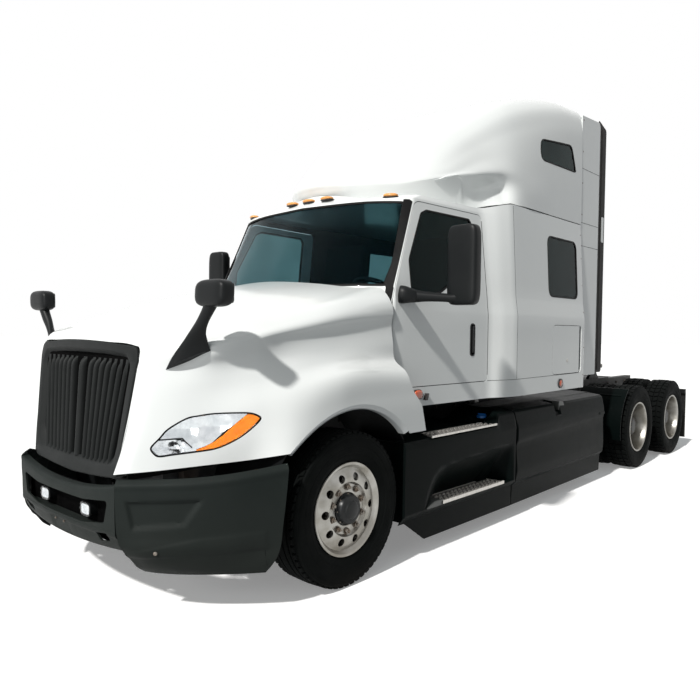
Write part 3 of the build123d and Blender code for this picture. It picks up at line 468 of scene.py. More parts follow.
# rows of blocks: across, width, how many, share of the pitch, radius, skew
RIB_ROWS = [(-0.109, 0.03, 60, 0.72, 0.5005, 0.004), (0.109, 0.03, 60, 0.72, 0.5005, 0.004)]
BLOCK_ROWS = [(-0.1, 0.052, 44, 0.8, 0.5005, 0.006), (-0.033, 0.056, 44, 0.8, 0.505, -0.008),
              (0.033, 0.056, 44, 0.8, 0.505, 0.008), (0.1, 0.052, 44, 0.8, 0.5005, -0.006)]
SIDES = {"left": 1, "right": -1}
for hand, sign in SIDES.items():
    piece = put_on_axle(tyre(f"steer_tyre_{hand}", 1.04, RIB_TREAD, RIB_ROWS), sign, 0)
    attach(piece, f"front_wheel_{hand}")
    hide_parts(f"front_tyre_{hand}")
    for row, axle_y in DRIVE_AXLES.items():
        pair = [tyre("one", middle, BLOCK_TREAD, BLOCK_ROWS) for middle in (0.75, 1.09)]
        piece = put_on_axle(joined(f"{row}_dual_tyres_{hand}", pair), sign, axle_y)
        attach(piece, f"{row}_drive_wheels_{hand}")
        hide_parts(f"{row}_drive_tyres_{hand}")

# ---- wheels ---------------------------------------------------------------------------------
# Forged alloy discs with ten round hand holes, held by ten hub nuts, over cast iron drums. The
# steered ones bulge outwards round a black hub cap; the driven pairs are deep and back to back.
wheel_alloy = finish("wheel_alloy", (0.37, 0.365, 0.345), (0.22, 0.21, 0.185), 7.0, (0.26, 0.44), metal=1.0,
                     grain=0.0002, grain_size=900, dust=(0.42, (0.17, 0.15, 0.125)))
nut_steel = finish("nut_steel", (0.2, 0.185, 0.165), (0.115, 0.085, 0.062), 45.0, (0.35, 0.55), metal=0.85,
                   grain=0.0004, grain_size=400)
cast_iron = finish("cast_iron", (0.03, 0.027, 0.024), (0.055, 0.038, 0.026), 12.0, (0.6, 0.85), metal=0.3,
                   grain=0.001, grain_size=200)
hub_black = finish("hub_black", (0.006, 0.007, 0.008), (0.012, 0.013, 0.013), 20.0, (0.25, 0.4),
                   grain=0.0001, grain_size=300, specular=0.2)
WHEEL_STEPS = 96
HAND_HOLES = 10
HAND_HOLE_RING = 0.212
HAND_HOLE_RADIUS = 0.0265
NUT_RING = 0.143
# outer lip, dish, crest, nut face, back of the disc, inner lip and barrel: along the axle, radius
STEER_RIM = [(1.153, 0.286), (1.154, 0.3), (1.159, 0.3045), (1.165, 0.302), (1.166, 0.296), (1.162, 0.285),
             (1.15, 0.275), (1.141, 0.266), (1.143, 0.257), (1.151, 0.245), (1.16, 0.228), (1.167, 0.206),
             (1.169, 0.19), (1.165, 0.175), (1.152, 0.168), (1.146, 0.161), (1.146, 0.108), (1.12, 0.108),
             (1.122, 0.165), (1.14, 0.192), (1.14, 0.222), (1.124, 0.25), (1.11, 0.268), (1.095, 0.274),
             (0.93, 0.274), (0.915, 0.286), (0.914, 0.3), (0.92, 0.304), (0.927, 0.3), (0.93, 0.286)]
DUAL_RIM = [(1.203, 0.286), (1.204, 0.3), (1.209, 0.3045), (1.215, 0.302), (1.216, 0.296), (1.212, 0.285),
            (1.192, 0.278), (1.01, 0.27), (0.968, 0.262), (0.95, 0.249), (0.944, 0.236), (0.944, 0.112),
            (0.922, 0.112), (0.922, 0.25), (0.934, 0.268), (0.952, 0.284), (0.964, 0.3), (0.97, 0.304),
            (0.976, 0.3), (0.978, 0.286)]
DUAL_FACE_X = 0.92
STEER_CAP = [(1.147, 0.0), (1.147, 0.104), (1.152, 0.106), (1.156, 0.1), (1.18, 0.094), (1.187, 0.088),
             (1.189, 0.064), (1.193, 0.06), (1.199, 0.056), (1.203, 0.044), (1.204, 0.0)]
STEER_DRUM = [(0.945, 0.196), (0.945, 0.212), (1.098, 0.212), (1.104, 0.206), (1.106, 0.165), (1.119, 0.11),
              (1.119, 0.045), (1.001, 0.045), (1.001, 0.095), (1.05, 0.095), (1.086, 0.16), (1.086, 0.196)]
DUAL_HUB = [(0.945, 0.0), (0.945, 0.108), (0.955, 0.108), (0.968, 0.098), (1.12, 0.09), (1.128, 0.102),
            (1.143, 0.102), (1.147, 0.094), (1.153, 0.06), (1.154, 0.0)]
DUAL_DRUM = [(0.705, 0.196), (0.705, 0.212), (0.89, 0.212), (0.895, 0.15), (0.895, 0.07), (0.78, 0.07),
             (0.78, 0.12), (0.88, 0.15), (0.88, 0.196)]


def cut(piece, cutter, operation="DIFFERENCE"):
    """Cut a closed piece with another exactly, and remove the cutter."""
    modifier = piece.modifiers.new("cut", "BOOLEAN")
    modifier.operation = operation
    modifier.solver = "EXACT"
    modifier.object = cutter
    bpy.context.view_layer.update()
    evaluated = piece.evaluated_get(bpy.context.evaluated_depsgraph_get())
    mesh = bpy.data.meshes.new_from_object(evaluated)
    piece.modifiers.remove(modifier)
    piece.data = mesh
    bpy.data.objects.remove(cutter)
    return piece


def disc(middle, radius, steps=96):
    """A round outline."""
    return [(middle[0] + radius * math.cos(math.tau * k / steps),
             middle[1] + radius * math.sin(math.tau * k / steps)) for k in range(steps)]


def drilled_rim(profile, first_x, last_x):
    """A spun rim with its ring of round hand holes cut through the disc."""
    rim = spun("rim", profile, WHEEL_STEPS, wheel_alloy)
    ring = disc((0, HAND_HOLE_RING), HAND_HOLE_RADIUS, 20)
    drill = swept("drill", [[(x, y, z) for y, z in ring] for x in (first_x, last_x)], wheel_alloy)
    drill.data.transform(Matrix.Rotation(math.pi / HAND_HOLES, 4, "X"))
    drills = repeated("drills", drill, HAND_HOLES, wheel_alloy, turn=(math.tau / HAND_HOLES, 0, 0))
    return cut(rim, tidy(drills))


def ring_of_nuts(face_x, ring, count, across, height, tip):
    """Hub nuts on their studs, standing on the disc."""
    nut = hex_head("nut", across, height, nut_steel)
    stud = spun("stud", [(0, 0.0), (0, across * 0.3), (height + tip, across * 0.3),
                         (height + tip * 1.2, across * 0.2), (height + tip * 1.2, 0.0)], 10, nut_steel)
    nut_and_stud = joined("nut_and_stud", [nut, stud])
    nut_and_stud.data.transform(Matrix.Translation((face_x, 0, ring)))
    return repeated("nuts", nut_and_stud, count, nut_steel, turn=(math.tau / count, 0, 0))


def flipped(piece, middle=0):
    """The same piece mirrored across a plane at x = middle."""
    piece.data.transform(Matrix.Translation((2 * middle, 0, 0)) @ Matrix.Diagonal((-1, 1, 1, 1)))
    return piece


for hand, sign in SIDES.items():
    parts = [drilled_rim(STEER_RIM, 1.1, 1.2), ring_of_nuts(1.146, NUT_RING, 10, 0.033, 0.02, 0.01),
             spun("cap", STEER_CAP, 64, hub_black), ring_of_nuts(1.156, 0.098, 8, 0.011, 0.007, 0.001),
             spun("drum", STEER_DRUM, 64, cast_iron)]
    piece = put_on_axle(joined(f"steer_rim_{hand}", parts), sign, 0)
    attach(piece, f"front_wheel_{hand}")
    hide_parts(f"front_wheel_{hand}")
    for row, axle_y in DRIVE_AXLES.items():
        parts = [drilled_rim(DUAL_RIM, 0.9, 0.99), flipped(drilled_rim(DUAL_RIM, 0.9, 0.99), DUAL_FACE_X),
                 ring_of_nuts(0.944, NUT_RING, 10, 0.033, 0.022, 0.014),
                 spun("hub", DUAL_HUB, 64, hub_black), ring_of_nuts(1.143, 0.086, 8, 0.016, 0.009, 0.004),
                 spun("drum", DUAL_DRUM, 64, cast_iron)]
        piece = put_on_axle(joined(f"{row}_dual_rims_{hand}", parts), sign, axle_y)
        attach(piece, f"{row}_drive_wheels_{hand}")
        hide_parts(f"{row}_drive_wheels_{hand}")

# ---- hood -----------------------------------------------------------------------------------
# One moulded shell with both fenders in it, hinged low at the front, sprayed gloss white. A soft
# crease runs back along each shoulder over a hollow, and the arches end in a bevelled lip.
white_paint = finish("white_paint", (0.79, 0.81, 0.8), (0.755, 0.78, 0.775), 0.9, (0.16, 0.24), coat=0.4,
                     grain=0.00015, grain_size=260, dust=(0.35, (0.55, 0.55, 0.53)), specular=0.3)
black_plastic = finish("black_plastic", (0.0035, 0.004, 0.0042), (0.006, 0.0066, 0.007), 4.0, (0.42, 0.58),
                       grain=0.0005, grain_size=420, specular=0.06)
HOOD_WALL = 0.007
# across, back, up; each row runs from the nose to the windshield, from the middle out and down
HOOD_NET = [
    [(0, -1.209, 1.576), (0, -1.182, 1.64), (0, -1.05, 1.7), (0, -0.86, 1.762), (0, -0.64, 1.823),
     (0, -0.42, 1.873), (0, -0.2, 1.92), (0, 0.06, 1.975), (0, 0.277, 2.02)],
    [(0.33, -1.196, 1.568), (0.335, -1.168, 1.628), (0.36, -1.045, 1.682), (0.42, -0.855, 1.735),
     (0.47, -0.635, 1.79), (0.5, -0.42, 1.84), (0.515, -0.2, 1.888), (0.52, 0.08, 1.945),
     (0.5, 0.325, 1.994)],
    [(0.575, -1.168, 1.553), (0.58, -1.138, 1.59), (0.66, -1.015, 1.608), (0.745, -0.86, 1.64),
     (0.81, -0.64, 1.69), (0.84, -0.43, 1.742), (0.855, -0.2, 1.8), (0.865, 0.1, 1.875),
     (0.83, 0.442, 1.958)],
    [(0.606, -1.16, 1.545), (0.63, -1.122, 1.562), (0.72, -1.01, 1.575), (0.845, -0.87, 1.6),
     (0.915, -0.645, 1.65), (0.94, -0.44, 1.7), (0.965, -0.2, 1.757), (0.985, 0.1, 1.835),
     (0.965, 0.548, 1.952)],
    [(0.617, -1.16, 1.52), (0.655, -1.118, 1.53), (0.78, -1.0, 1.535), (0.932, -0.88, 1.55),
     (1.008, -0.65, 1.597), (1.026, -0.45, 1.635), (1.042, -0.22, 1.672), (1.056, 0.1, 1.722),
     (1.072, 0.552, 1.765)],
    [(0.617, -1.161, 1.508), (0.656, -1.121, 1.516), (0.782, -1.002, 1.52), (0.934, -0.879, 1.533),
     (1.006, -0.65, 1.578), (1.02, -0.45, 1.614), (1.032, -0.22, 1.648), (1.045, 0.1, 1.696),
     (1.064, 0.553, 1.738)],
    [(0.614, -1.172, 1.44), (0.66, -1.135, 1.44), (0.775, -1.01, 1.44), (0.905, -0.86, 1.45),
     (0.988, -0.65, 1.475), (1.025, -0.45, 1.49), (1.048, -0.2, 1.52), (1.058, 0.1, 1.54),
     (1.074, 0.555, 1.56)],
    [(0.602, -1.188, 1.32), (0.66, -1.165, 1.32), (0.78, -1.03, 1.325), (0.905, -0.85, 1.34),
     (1.01, -0.655, 1.37), (1.065, -0.45, 1.41), (1.09, -0.2, 1.44), (1.1, 0.1, 1.455), (1.09, 0.57, 1.45)],
    [(0.585, -1.211, 1.16), (0.655, -1.205, 1.16), (0.775, -1.07, 1.16), (0.905, -0.88, 1.17),
     (1.05, -0.665, 1.21), (1.14, -0.46, 1.28), (1.19, -0.2, 1.345), (1.195, 0.1, 1.385),
     (1.18, 0.62, 1.375)],
    [(0.56, -1.238, 0.98), (0.64, -1.255, 0.99), (0.765, -1.115, 0.99), (0.895, -0.915, 1.0),
     (1.04, -0.69, 1.04), (1.175, -0.48, 1.08), (1.218, -0.2, 1.15), (1.224, 0.1, 1.19), (1.222, 0.8, 1.19)],
    [(0.537, -1.256, 0.828), (0.612, -1.302, 0.845), (0.75, -1.15, 0.862), (0.88, -0.94, 0.88),
     (1.02, -0.7, 0.9), (1.185, -0.5, 0.935), (1.222, -0.22, 0.94), (1.226, 0.1, 0.94), (1.226, 0.8, 0.94)],
]


def through(points, steps, creases=(), spaced=False):
    """A smooth line through points (arrays of any shape), broken where it is creased."""
    points = np.asarray(points, dtype=float)
    out = []
    ends = [0, *creases, len(points) - 1]
    for first, last in zip(ends, ends[1:]):
        run = points[first:last + 1]
        padded = np.concatenate([[2 * run[0] - run[1]], run, [2 * run[-1] - run[-2]]])
        for k in range(1, len(padded) - 2):
            a, b, c, d = padded[k - 1:k + 3]
            leaving, arriving = (c - a) / 2, (d - b) / 2
            if spaced:
                ab, bc, cd = (np.maximum(np.linalg.norm(q - p, axis=-1, keepdims=True), 1e-6)
                              for p, q in ((a, b), (b, c), (c, d)))
                leaving = ((b - a) / ab * bc + (c - b) / bc * ab) / (ab + bc) * bc
                arriving = ((c - b) / bc * cd + (d - c) / cd * bc) / (bc + cd) * bc
            for i in range(steps):
                t = i / steps
                out.append((2 * t ** 3 - 3 * t * t + 1) * b + (t ** 3 - 2 * t * t + t) * leaving
                           + (3 * t * t - 2 * t ** 3) * c + (t ** 3 - t * t) * arriving)
    out.append(points[-1])
    return np.array(out)


def smooth_surface(net, across, along, spaced=False):
    """A dense grid of places through a coarse net, smooth both ways."""
    rows = through(np.array([[tuple(at(*p)) for p in row] for row in net]), across, (), spaced)
    return through(rows.transpose(1, 0, 2), along).transpose(1, 0, 2)


def both_halves(net):
    """A net for the left half, given from the middle outwards, with its mirror image."""
    return [[(-x, y, z) for x, y, z in row] for row in reversed(net[1:])] + net


def grid_normals(grid):
    """Unit normals at every place of a grid."""
    down = np.gradient(grid, axis=0)
    along = np.gradient(grid, axis=1)
    normal = np.cross(down, along)
    return normal / np.maximum(np.linalg.norm(normal, axis=2, keepdims=True), 1e-9)


def grid_quads(rows, columns):
    """The faces between the places of a grid."""
    return [(a, a + 1, a + columns + 1, a + columns)
            for i in range(rows - 1) for a in range(i * columns, (i + 1) * columns - 1)]


def shell(name, grid, depth, thickness, material, outwards=1):
    """A closed wall under a surface: from depth below it to depth plus thickness."""
    normal = grid_normals(grid) * outwards
    layers = [grid - normal * depth, grid - normal * (depth + thickness)]
    rows, columns = grid.shape[:2]
    count = rows * columns
    vertices = np.concatenate([layer.reshape(-1, 3) for layer in layers])
    faces = []
    for quad in grid_quads(rows, columns):
        faces += [quad, tuple(count + k for k in reversed(quad))]
    rim = list(range(columns)) + [i * columns + columns - 1 for i in range(1, rows)]
    rim += [(rows - 1) * columns + j for j in range(columns - 2, -1, -1)]
    rim += [i * columns for i in range(rows - 2, 0, -1)]
    faces += [(a, count + a, count + b, b) for a, b in zip(rim, rim[1:] + rim[:1])]
    return tidy(new_piece(name, [Vector(v) for v in vertices], faces, [material]))


def corner_arc(here, before, after, reach, steps):
    """A soft curve past a corner, from a reach before it to a reach after it."""
    start = here + before.normalized() * reach
    end = here + after.normalized() * reach
    shares = [k / steps for k in range(steps + 1)]
    return [tuple(start * (1 - t) ** 2 + here * 2 * t * (1 - t) + end * t * t) for t in shares]


def rounded(points, radius, steps=5):
    """A closed outline with its corners turned into arcs; radius may be one for each corner."""
    out = []
    count = len(points)
    for i, point in enumerate(points):
        r = radius[i] if isinstance(radius, (list, tuple)) else radius
        here = Vector(point)
        before = Vector(points[i - 1]) - here
        after = Vector(points[(i + 1) % count]) - here
        bend = before.angle(after)
        reach = min(r / math.tan(bend / 2), before.length * 0.48, after.length * 0.48)
        if reach < 1e-4 or bend > math.radians(177):
            out.append(tuple(here))
            continue
        out += corner_arc(here, before, after, reach, steps)
    return out


def prism(name, outline, plane, low, high, material=None):
    """A straight block: a closed outline drawn on a plane, from low to high across it."""
    spots = {"side": lambda a, b, d: at(d, a, b), "front": lambda a, b, d: at(a, d, b),
             "top": lambda a, b, d: at(a, b, d)}[plane]
    return swept(name, [[spots(a, b, d) for a, b in outline] for d in (low, high)], material)


def kept(piece, outline, plane, low, high):
    """Keep only what lies inside an outline."""
    return cut(piece, prism("kept", outline, plane, low, high), "INTERSECT")


def opened(piece, outline, plane, low, high):
    """Cut an opening with the outline's shape."""
    return cut(piece, prism("opening", outline, plane, low, high))


def opened_twice(piece, outline, low, high):
    """Cut the same opening, drawn in side view, through the left and the right wall."""
    opened(piece, outline, "side", low, high)
    opened(piece, outline, "side", -high, -low)


hood_grid = smooth_surface(both_halves(HOOD_NET), 7, 9, True)
ARCH_MIDDLE = (0.024, 0.458)
ARCH_RADIUS = 0.69
LIP_WIDTH = 0.034
# side view of what is kept of the shell: back, up
HOOD_KEPT = [(-1.4, 0.6), (0.79, 0.6), (0.752, 0.945), (0.7, 1.13), (0.612, 1.222), (0.568, 1.3),
             (0.549, 1.4), (0.549, 2.2), (-1.4, 2.2)]
# side view of the lamp: back, up, clockwise from its front tip
LAMP_SHAPE = [(-1.163, 0.99), (-1.122, 1.044), (-1.081, 1.095), (-0.998, 1.151), (-0.942, 1.165),
              (-0.871, 1.176), (-0.77, 1.179), (-0.7, 1.176), (-0.656, 1.155), (-0.65, 1.13),
              (-0.694, 1.078), (-0.748, 1.03), (-0.813, 0.99), (-0.87, 0.968), (-0.941, 0.957),
              (-1.06, 0.944), (-1.122, 0.936), (-1.148, 0.95)]


def closed_curve(points, steps=4):
    """A smooth closed outline through points."""
    looped = points[-2:] + points + points[:3]
    dense = through(looped, steps)
    return [tuple(p) for p in dense[2 * steps:(2 + len(points)) * steps]]


def grown(outline, distance):
    """The outline moved outwards by a distance."""
    points = [Vector(p) for p in outline]
    area = sum(a.x * b.y - b.x * a.y for a, b in zip(points, points[1:] + points[:1]))
    turn = 1 if area > 0 else -1
    out = []
    for before, here, after in zip(points[-1:] + points[:-1], points, points[1:] + points[:1]):
        along = (after - before).normalized()
        out.append(tuple(here + Vector((along.y, -along.x)) * turn * distance))
    return out


lamp_outline = closed_curve(LAMP_SHAPE)
hood_shell = shell("hood_shell", hood_grid, 0, HOOD_WALL, white_paint)
kept(hood_shell, HOOD_KEPT, "side", -1.5, 1.5)
opened(hood_shell, disc(ARCH_MIDDLE, ARCH_RADIUS + LIP_WIDTH), "side", -1.5, 1.5)
opened_twice(hood_shell, lamp_outline, 0.55, 1.3)
tidy(hood_shell, 38)
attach(hood_shell, "hood")
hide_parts("hood")


def surface_tree(grid):
    """A search tree of a surface, for finding where a line meets it."""
    return BVHTree.FromPolygons([tuple(v) for v in grid.reshape(-1, 3)], grid_quads(*grid.shape[:2]))


def side_of(tree, y, z, sign=1):
    """The outermost place of a surface at a place along the truck and a height."""
    return tree.ray_cast(at(sign * 1.8, y, z), Vector((-sign, 0, 0)))[0]


hood_tree = surface_tree(hood_grid)
# section of the arch lip: radius from the edge of the shell, distance inwards
LIP_SECTION = [(0.002, 0.0), (-0.01, 0.002), (-0.03, 0.016), (-0.034, 0.024), (-0.034, 0.07), (-0.028, 0.07),
               (-0.026, 0.03), (0.002, 0.02)]
LIP_STEPS = 72


def on_arch(radius, angle):
    """How far back and up a place over the wheel lies."""
    return ARCH_MIDDLE[0] + radius * math.cos(angle), ARCH_MIDDLE[1] + radius * math.sin(angle)


def arch_lip(sign):
    """The lip, from just under the arch's middle behind the wheel, over it and down in front."""
    sections = []
    radius = ARCH_RADIUS + LIP_WIDTH
    for i in range(LIP_STEPS + 1):
        angle = math.radians(184 * i / LIP_STEPS - 2)
        edge = side_of(hood_tree, *on_arch(radius, angle), sign)
        if edge is not None:
            sections.append([at(edge.x - sign * inwards, *on_arch(radius + out, angle))
                             for out, inwards in LIP_SECTION])
    return swept("lip", sections, white_paint)


arch_lips = joined("arch_lips", [arch_lip(sign) for sign in (-1, 1)])
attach(arch_lips, "hood")


LINER_SECTION = [(0.7, 1.14), (0.708, 1.14), (0.708, 0.6), (0.7, 0.6)]    # radius, across
LINER_STEPS = 39
LINER_LIFT = 0.02
LINER_GAP = 0.03            # between the liner and the hood's side


def arch_liner(sign):
    """A thin wall over the wheel, reaching from the engine to just inside the hood's side."""
    sections = []
    for i in range(LINER_STEPS + 1):
        section = []
        for radius, x in LINER_SECTION:
            back, up = on_arch(radius, math.radians(196 * i / LINER_STEPS - 2))
            reach = side_of(hood_tree, back, up + LINER_LIFT, sign)
            if reach is not None and x > 1:
                x = min(x, abs(reach.x) - LINER_GAP)
            section.append(at(sign * x, back, up + LINER_LIFT))
        sections.append(section)
    return swept("liner", sections, black_plastic)


arch_liners = joined("arch_liners", [arch_liner(sign) for sign in (-1, 1)])
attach(arch_liners, "hood")

# ---- headlights -----------------------------------------------------------------------------
# Clear polycarbonate covers let into the fenders over plated reflector bowls, with an amber turn
# band along the lower edge, a dark fog light corner and a black rim glued round the opening.
lamp_chrome = finish("lamp_chrome", (0.8, 0.81, 0.83), (0.62, 0.64, 0.67), 18.0, (0.06, 0.16), metal=1.0)
amber_plastic = finish("amber_plastic", (0.98, 0.26, 0.004), (0.88, 0.2, 0.003), 30.0, (0.2, 0.3),
                       specular=0.2)


def clear_plastic(name, colour, depth_colour, rough, mottle, specular=0.3, glint=(1, 1, 1)):
    """A clear or tinted cover that lets light through, faintly uneven."""
    made, tree, shader = blank(name)
    tint = blend_colours(tree, object_noise(tree, mottle, 2.0), colour, depth_colour)
    tree.links.new(tint, shader.inputs["Base Color"])
    shader.inputs["Roughness"].default_value = rough
    shader.inputs["IOR"].default_value = ior_for(specular)
    shader.inputs["Specular Tint"].default_value = (*glint, 1)
    shader.inputs["Transmission Weight"].default_value = 1.0
    return made


clear_cover = clear_plastic("clear_cover", (0.97, 0.98, 0.98), (0.93, 0.95, 0.95), 0.02, 6.0, 0.12)
# side view, back and up: the amber band, and the dark line that divides off the fog light's corner
TURN_BAND = [(-0.952, 0.945), (-0.952, 0.973), (-0.913, 0.988), (-0.871, 1.012), (-0.828, 1.048),
             (-0.784, 1.097), (-0.741, 1.139), (-0.708, 1.17), (-0.68, 1.2), (-0.6, 1.2), (-0.6, 1.05),
             (-0.75, 0.93)]
CORNER_LINE = [(-1.12, 1.03), (-1.074, 1.034), (-1.014, 1.036), (-0.998, 1.013), (-0.973, 0.984)]
CORNER_LINE_HALF = 0.0035
BOWLS = [(-1.005, 1.085, 0.075), (-0.875, 1.095, 0.085), (-1.055, 0.99, 0.042)]    # back, up, radius
rows_near_lamp = hood_grid[84:, :56]
lamp_rows = through(through(rows_near_lamp, 2).transpose(1, 0, 2), 2).transpose(1, 0, 2)
LAMP_RIM = 0.009
LAMP_SPAN = ("side", 0.55, 1.3)


def sunk(grid, bowls, depth):
    """The surface pushed in by round bowls, each with its fine facets."""
    normal = grid_normals(grid)
    y = grid[:, :, 1] - FRONT_AXLE_Y
    z = grid[:, :, 2]
    inwards = np.full(y.shape, depth)
    for middle_y, middle_z, radius in bowls:
        share = ((y - middle_y) ** 2 + (z - middle_z) ** 2) / radius ** 2
        facets = 0.0022 * np.cos(26 * (y - middle_y) / radius) * (share < 1)
        inwards = np.maximum(inwards, depth + 0.03 * (1 - share)) + facets
    return grid - normal * inwards[:, :, None]


def headlight():
    window = grown(lamp_outline, -LAMP_RIM - 0.001)
    rim = shell("rim", rows_near_lamp, 0.0015, 0.03, black_plastic)
    kept(rim, grown(lamp_outline, -0.003), *LAMP_SPAN)
    opened(rim, grown(lamp_outline, -LAMP_RIM), *LAMP_SPAN)
    cover = kept(shell("cover", rows_near_lamp, 0.0005, 0.003, clear_cover), window, *LAMP_SPAN)
    bowl = kept(shell("bowl", sunk(lamp_rows, BOWLS, 0.01), 0, 0.004, lamp_chrome), window, *LAMP_SPAN)
    opened(bowl, TURN_BAND, *LAMP_SPAN)
    band = kept(shell("band", rows_near_lamp, 0.006, 0.006, amber_plastic), window, *LAMP_SPAN)
    kept(band, grown(TURN_BAND, -0.002), *LAMP_SPAN)
    parts = [rim, cover, bowl, band]
    for (y0, z0), (y1, z1) in zip(CORNER_LINE, CORNER_LINE[1:]):
        bar = [(y0, z0 - CORNER_LINE_HALF), (y1, z1 - CORNER_LINE_HALF), (y1, z1 + CORNER_LINE_HALF),
               (y0, z0 + CORNER_LINE_HALF)]
        parts.append(kept(shell("line", rows_near_lamp, 0.005, 0.01, black_plastic), bar, *LAMP_SPAN))
    return joined("headlight", parts)


def two_sided(name, build, crease):
    """A piece built for the left-hand side and again, mirrored, for the right-hand side."""
    return tidy(joined(name, [build(), flipped(build())]), crease)


headlight_pair = two_sided("headlight_pair", headlight, 35)
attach(headlight_pair, "hood")
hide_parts("headlights")

# ---- grille ---------------------------------------------------------------------------------
# A moulded black plastic surround bowed across the nose, holding upright bars that fan out to the
# top and bend back there, with a fine screen close behind them. The screen is made near black as
# painted shade for the depth behind the bars. Screwed to the hood.
GRILLE_OUT = [(-0.534, 0.8), (-0.25, 0.776), (0, 0.764), (0.25, 0.776), (0.534, 0.8), (0.619, 1.47),
              (0.6, 1.548), (0.3, 1.566), (0, 1.574), (-0.3, 1.566), (-0.6, 1.548), (-0.619, 1.47)]
GRILLE_IN = [(-0.435, 0.893), (-0.22, 0.872), (0, 0.866), (0.22, 0.872), (0.435, 0.893), (0.478, 0.98),
             (0.528, 1.425), (0.488, 1.482), (0.25, 1.496), (0, 1.5), (-0.25, 1.496), (-0.488, 1.482),
             (-0.528, 1.425), (-0.478, 0.98)]
GRILLE_FOOT, GRILLE_TOP = GRILLE_IN[4], GRILLE_IN[6]
GRILLE_MIDDLE = 1.17
GRILLE_LOW, GRILLE_TALL, GRILLE_HALF = 0.76, 0.82, 0.62
grille_plastic = finish("grille_plastic", (0.014, 0.0155, 0.0155), (0.019, 0.0205, 0.0205), 3.0, (0.45, 0.6),
                        grain=0.0004, grain_size=500, specular=0.09)
# near black and dull: painted shade for the depth behind the grille bars and at the back of the bumper's lamp
# slot
dark_screen_and_painted_shade = finish("dark_screen_and_painted_shade", (0.0008, 0.0008, 0.0009), (0.002, 0.002, 0.002), 40.0, (0.7, 0.9),
                      specular=0.02)


def grille_face(x, z):
    """How far back the grille's face is at a place across and up."""
    up_share = (z - GRILLE_LOW) / GRILLE_TALL
    return -1.26 + 0.048 * up_share + (0.05 * up_share - 0.004) * (x / GRILLE_HALF) ** 2


def grille_back(z):
    """How far back the grille's flat back is at a height."""
    return -1.209 + 0.052 * (z - GRILLE_LOW) / GRILLE_TALL


def from_middle(outline, steps):
    """Places on an outline, as seen from the middle of the grille at even angles."""
    out = []
    ring = list(zip(outline, outline[1:] + outline[:1]))
    for k in range(steps):
        angle = math.tau * k / steps
        dx, dz = math.cos(angle), math.sin(angle)
        far = 0
        for (x0, z0), (x1, z1) in ring:
            ex, ez = x1 - x0, z1 - z0
            under = dx * ez - dz * ex
            if abs(under) < 1e-9:
                continue
            along = (x0 * ez - (z0 - GRILLE_MIDDLE) * ex) / under
            share = (x0 * dz - (z0 - GRILLE_MIDDLE) * dx) / under
            if along > far and -1e-6 <= share <= 1 + 1e-6:
                far = along
        out.append((dx * far, GRILLE_MIDDLE + dz * far))
    return out


RING_STEPS = 240
OUT_ROUNDING = [0.05, 0.2, 0.4, 0.2, 0.05, 0.06, 0.07, 0.3, 0.5, 0.3, 0.07, 0.06]
IN_ROUNDING = [0.05, 0.2, 0.4, 0.2, 0.05, 0.2, 0.07, 0.06, 0.3, 0.5, 0.3, 0.06, 0.07, 0.2]
outer_ring = from_middle(rounded(GRILLE_OUT, OUT_ROUNDING), RING_STEPS)
inner_ring = from_middle(rounded(GRILLE_IN, IN_ROUNDING), RING_STEPS)
# section of the surround: share of the way from the outer to the inner edge, depth behind the face
SURROUND = [(0.0, None), (0.0, 0.01), (0.02, 0.004), (0.08, 0.0), (0.6, 0.002), (0.68, 0.006), (0.8, 0.016),
            (0.97, 0.026), (1.0, 0.03), (1.0, None)]
sections = []
for (x0, z0), (x1, z1) in zip(outer_ring, inner_ring):
    section = []
    for share, depth in SURROUND:
        x, z = x0 + (x1 - x0) * share, z0 + (z1 - z0) * share
        back = grille_back(z)
        section.append(at(x, back if depth is None else min(grille_face(x, z) + depth, back - 0.001), z))
    sections.append(section)
parts = [swept("surround", sections, grille_plastic, closed=True)]
FIRST_BAR, BAR_PITCH = 0.215, 0.121        # as shares of half the opening's width
BAR_PLACES = [0] + [sign * (FIRST_BAR + BAR_PITCH * k) for k in range(7) for sign in (-1, 1)]
BAR_HEIGHTS = [0.862, 0.9, 1.0, 1.1, 1.2, 1.3, 1.38, 1.41, 1.432, 1.45, 1.462, 1.469]
BAR_BENDS = [0.0] * 7 + [0.001, 0.005, 0.014, 0.026, 0.04]


def grille_bar(share, half_width):
    """An upright bar, rounded in front, bent back at its top."""
    sections = []
    for z, bend in zip(BAR_HEIGHTS, BAR_BENDS):
        middle = share * (GRILLE_FOOT[0] + (GRILLE_TOP[0] - GRILLE_FOOT[0]) * (z - GRILLE_FOOT[1])
                          / (GRILLE_TOP[1] - GRILLE_FOOT[1]))
        back = grille_back(z) - 0.006
        section = []
        for k in range(9):
            angle = math.pi * k / 8
            x = middle - half_width * math.cos(angle)
            y = grille_face(x, z) + 0.01 + bend + 0.03 * (1 - math.sin(angle))
            section.append(at(x, min(y, back - 0.001), z))
        section += [at(middle + half_width, back, z), at(middle - half_width, back, z)]
        sections.append(section)
    return swept("bar", sections, grille_plastic)


parts += [grille_bar(share, 0.023 if share == 0 else 0.0155) for share in BAR_PLACES]
# the screen behind the bars is near black: painted shade for the depth behind the grille
screen_outline = rounded(GRILLE_IN, 0.05)
screen = [[at(x * 1.02, grille_back(z) - depth, GRILLE_MIDDLE + (z - GRILLE_MIDDLE) * 1.02)
           for x, z in screen_outline] for depth in (0.006, 0.001)]
parts.append(swept("screen", screen, dark_screen_and_painted_shade))
grille_piece = joined("grille_piece", parts)
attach(grille_piece, "hood")
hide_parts("grille")

# ---- bumper ---------------------------------------------------------------------------------
# Three grained dark grey plastic mouldings on a steel beam: a middle with a slot for two driving
# lamps and two tow holes, and wrap-round ends with a sloped top ledge and a dished panel.
bumper_plastic = finish("bumper_plastic", (0.0105, 0.014, 0.013), (0.0145, 0.018, 0.017), 2.2, (0.5, 0.66),
                        grain=0.0006, grain_size=650, dust=(0.75, (0.016, 0.018, 0.016)), specular=0.08)
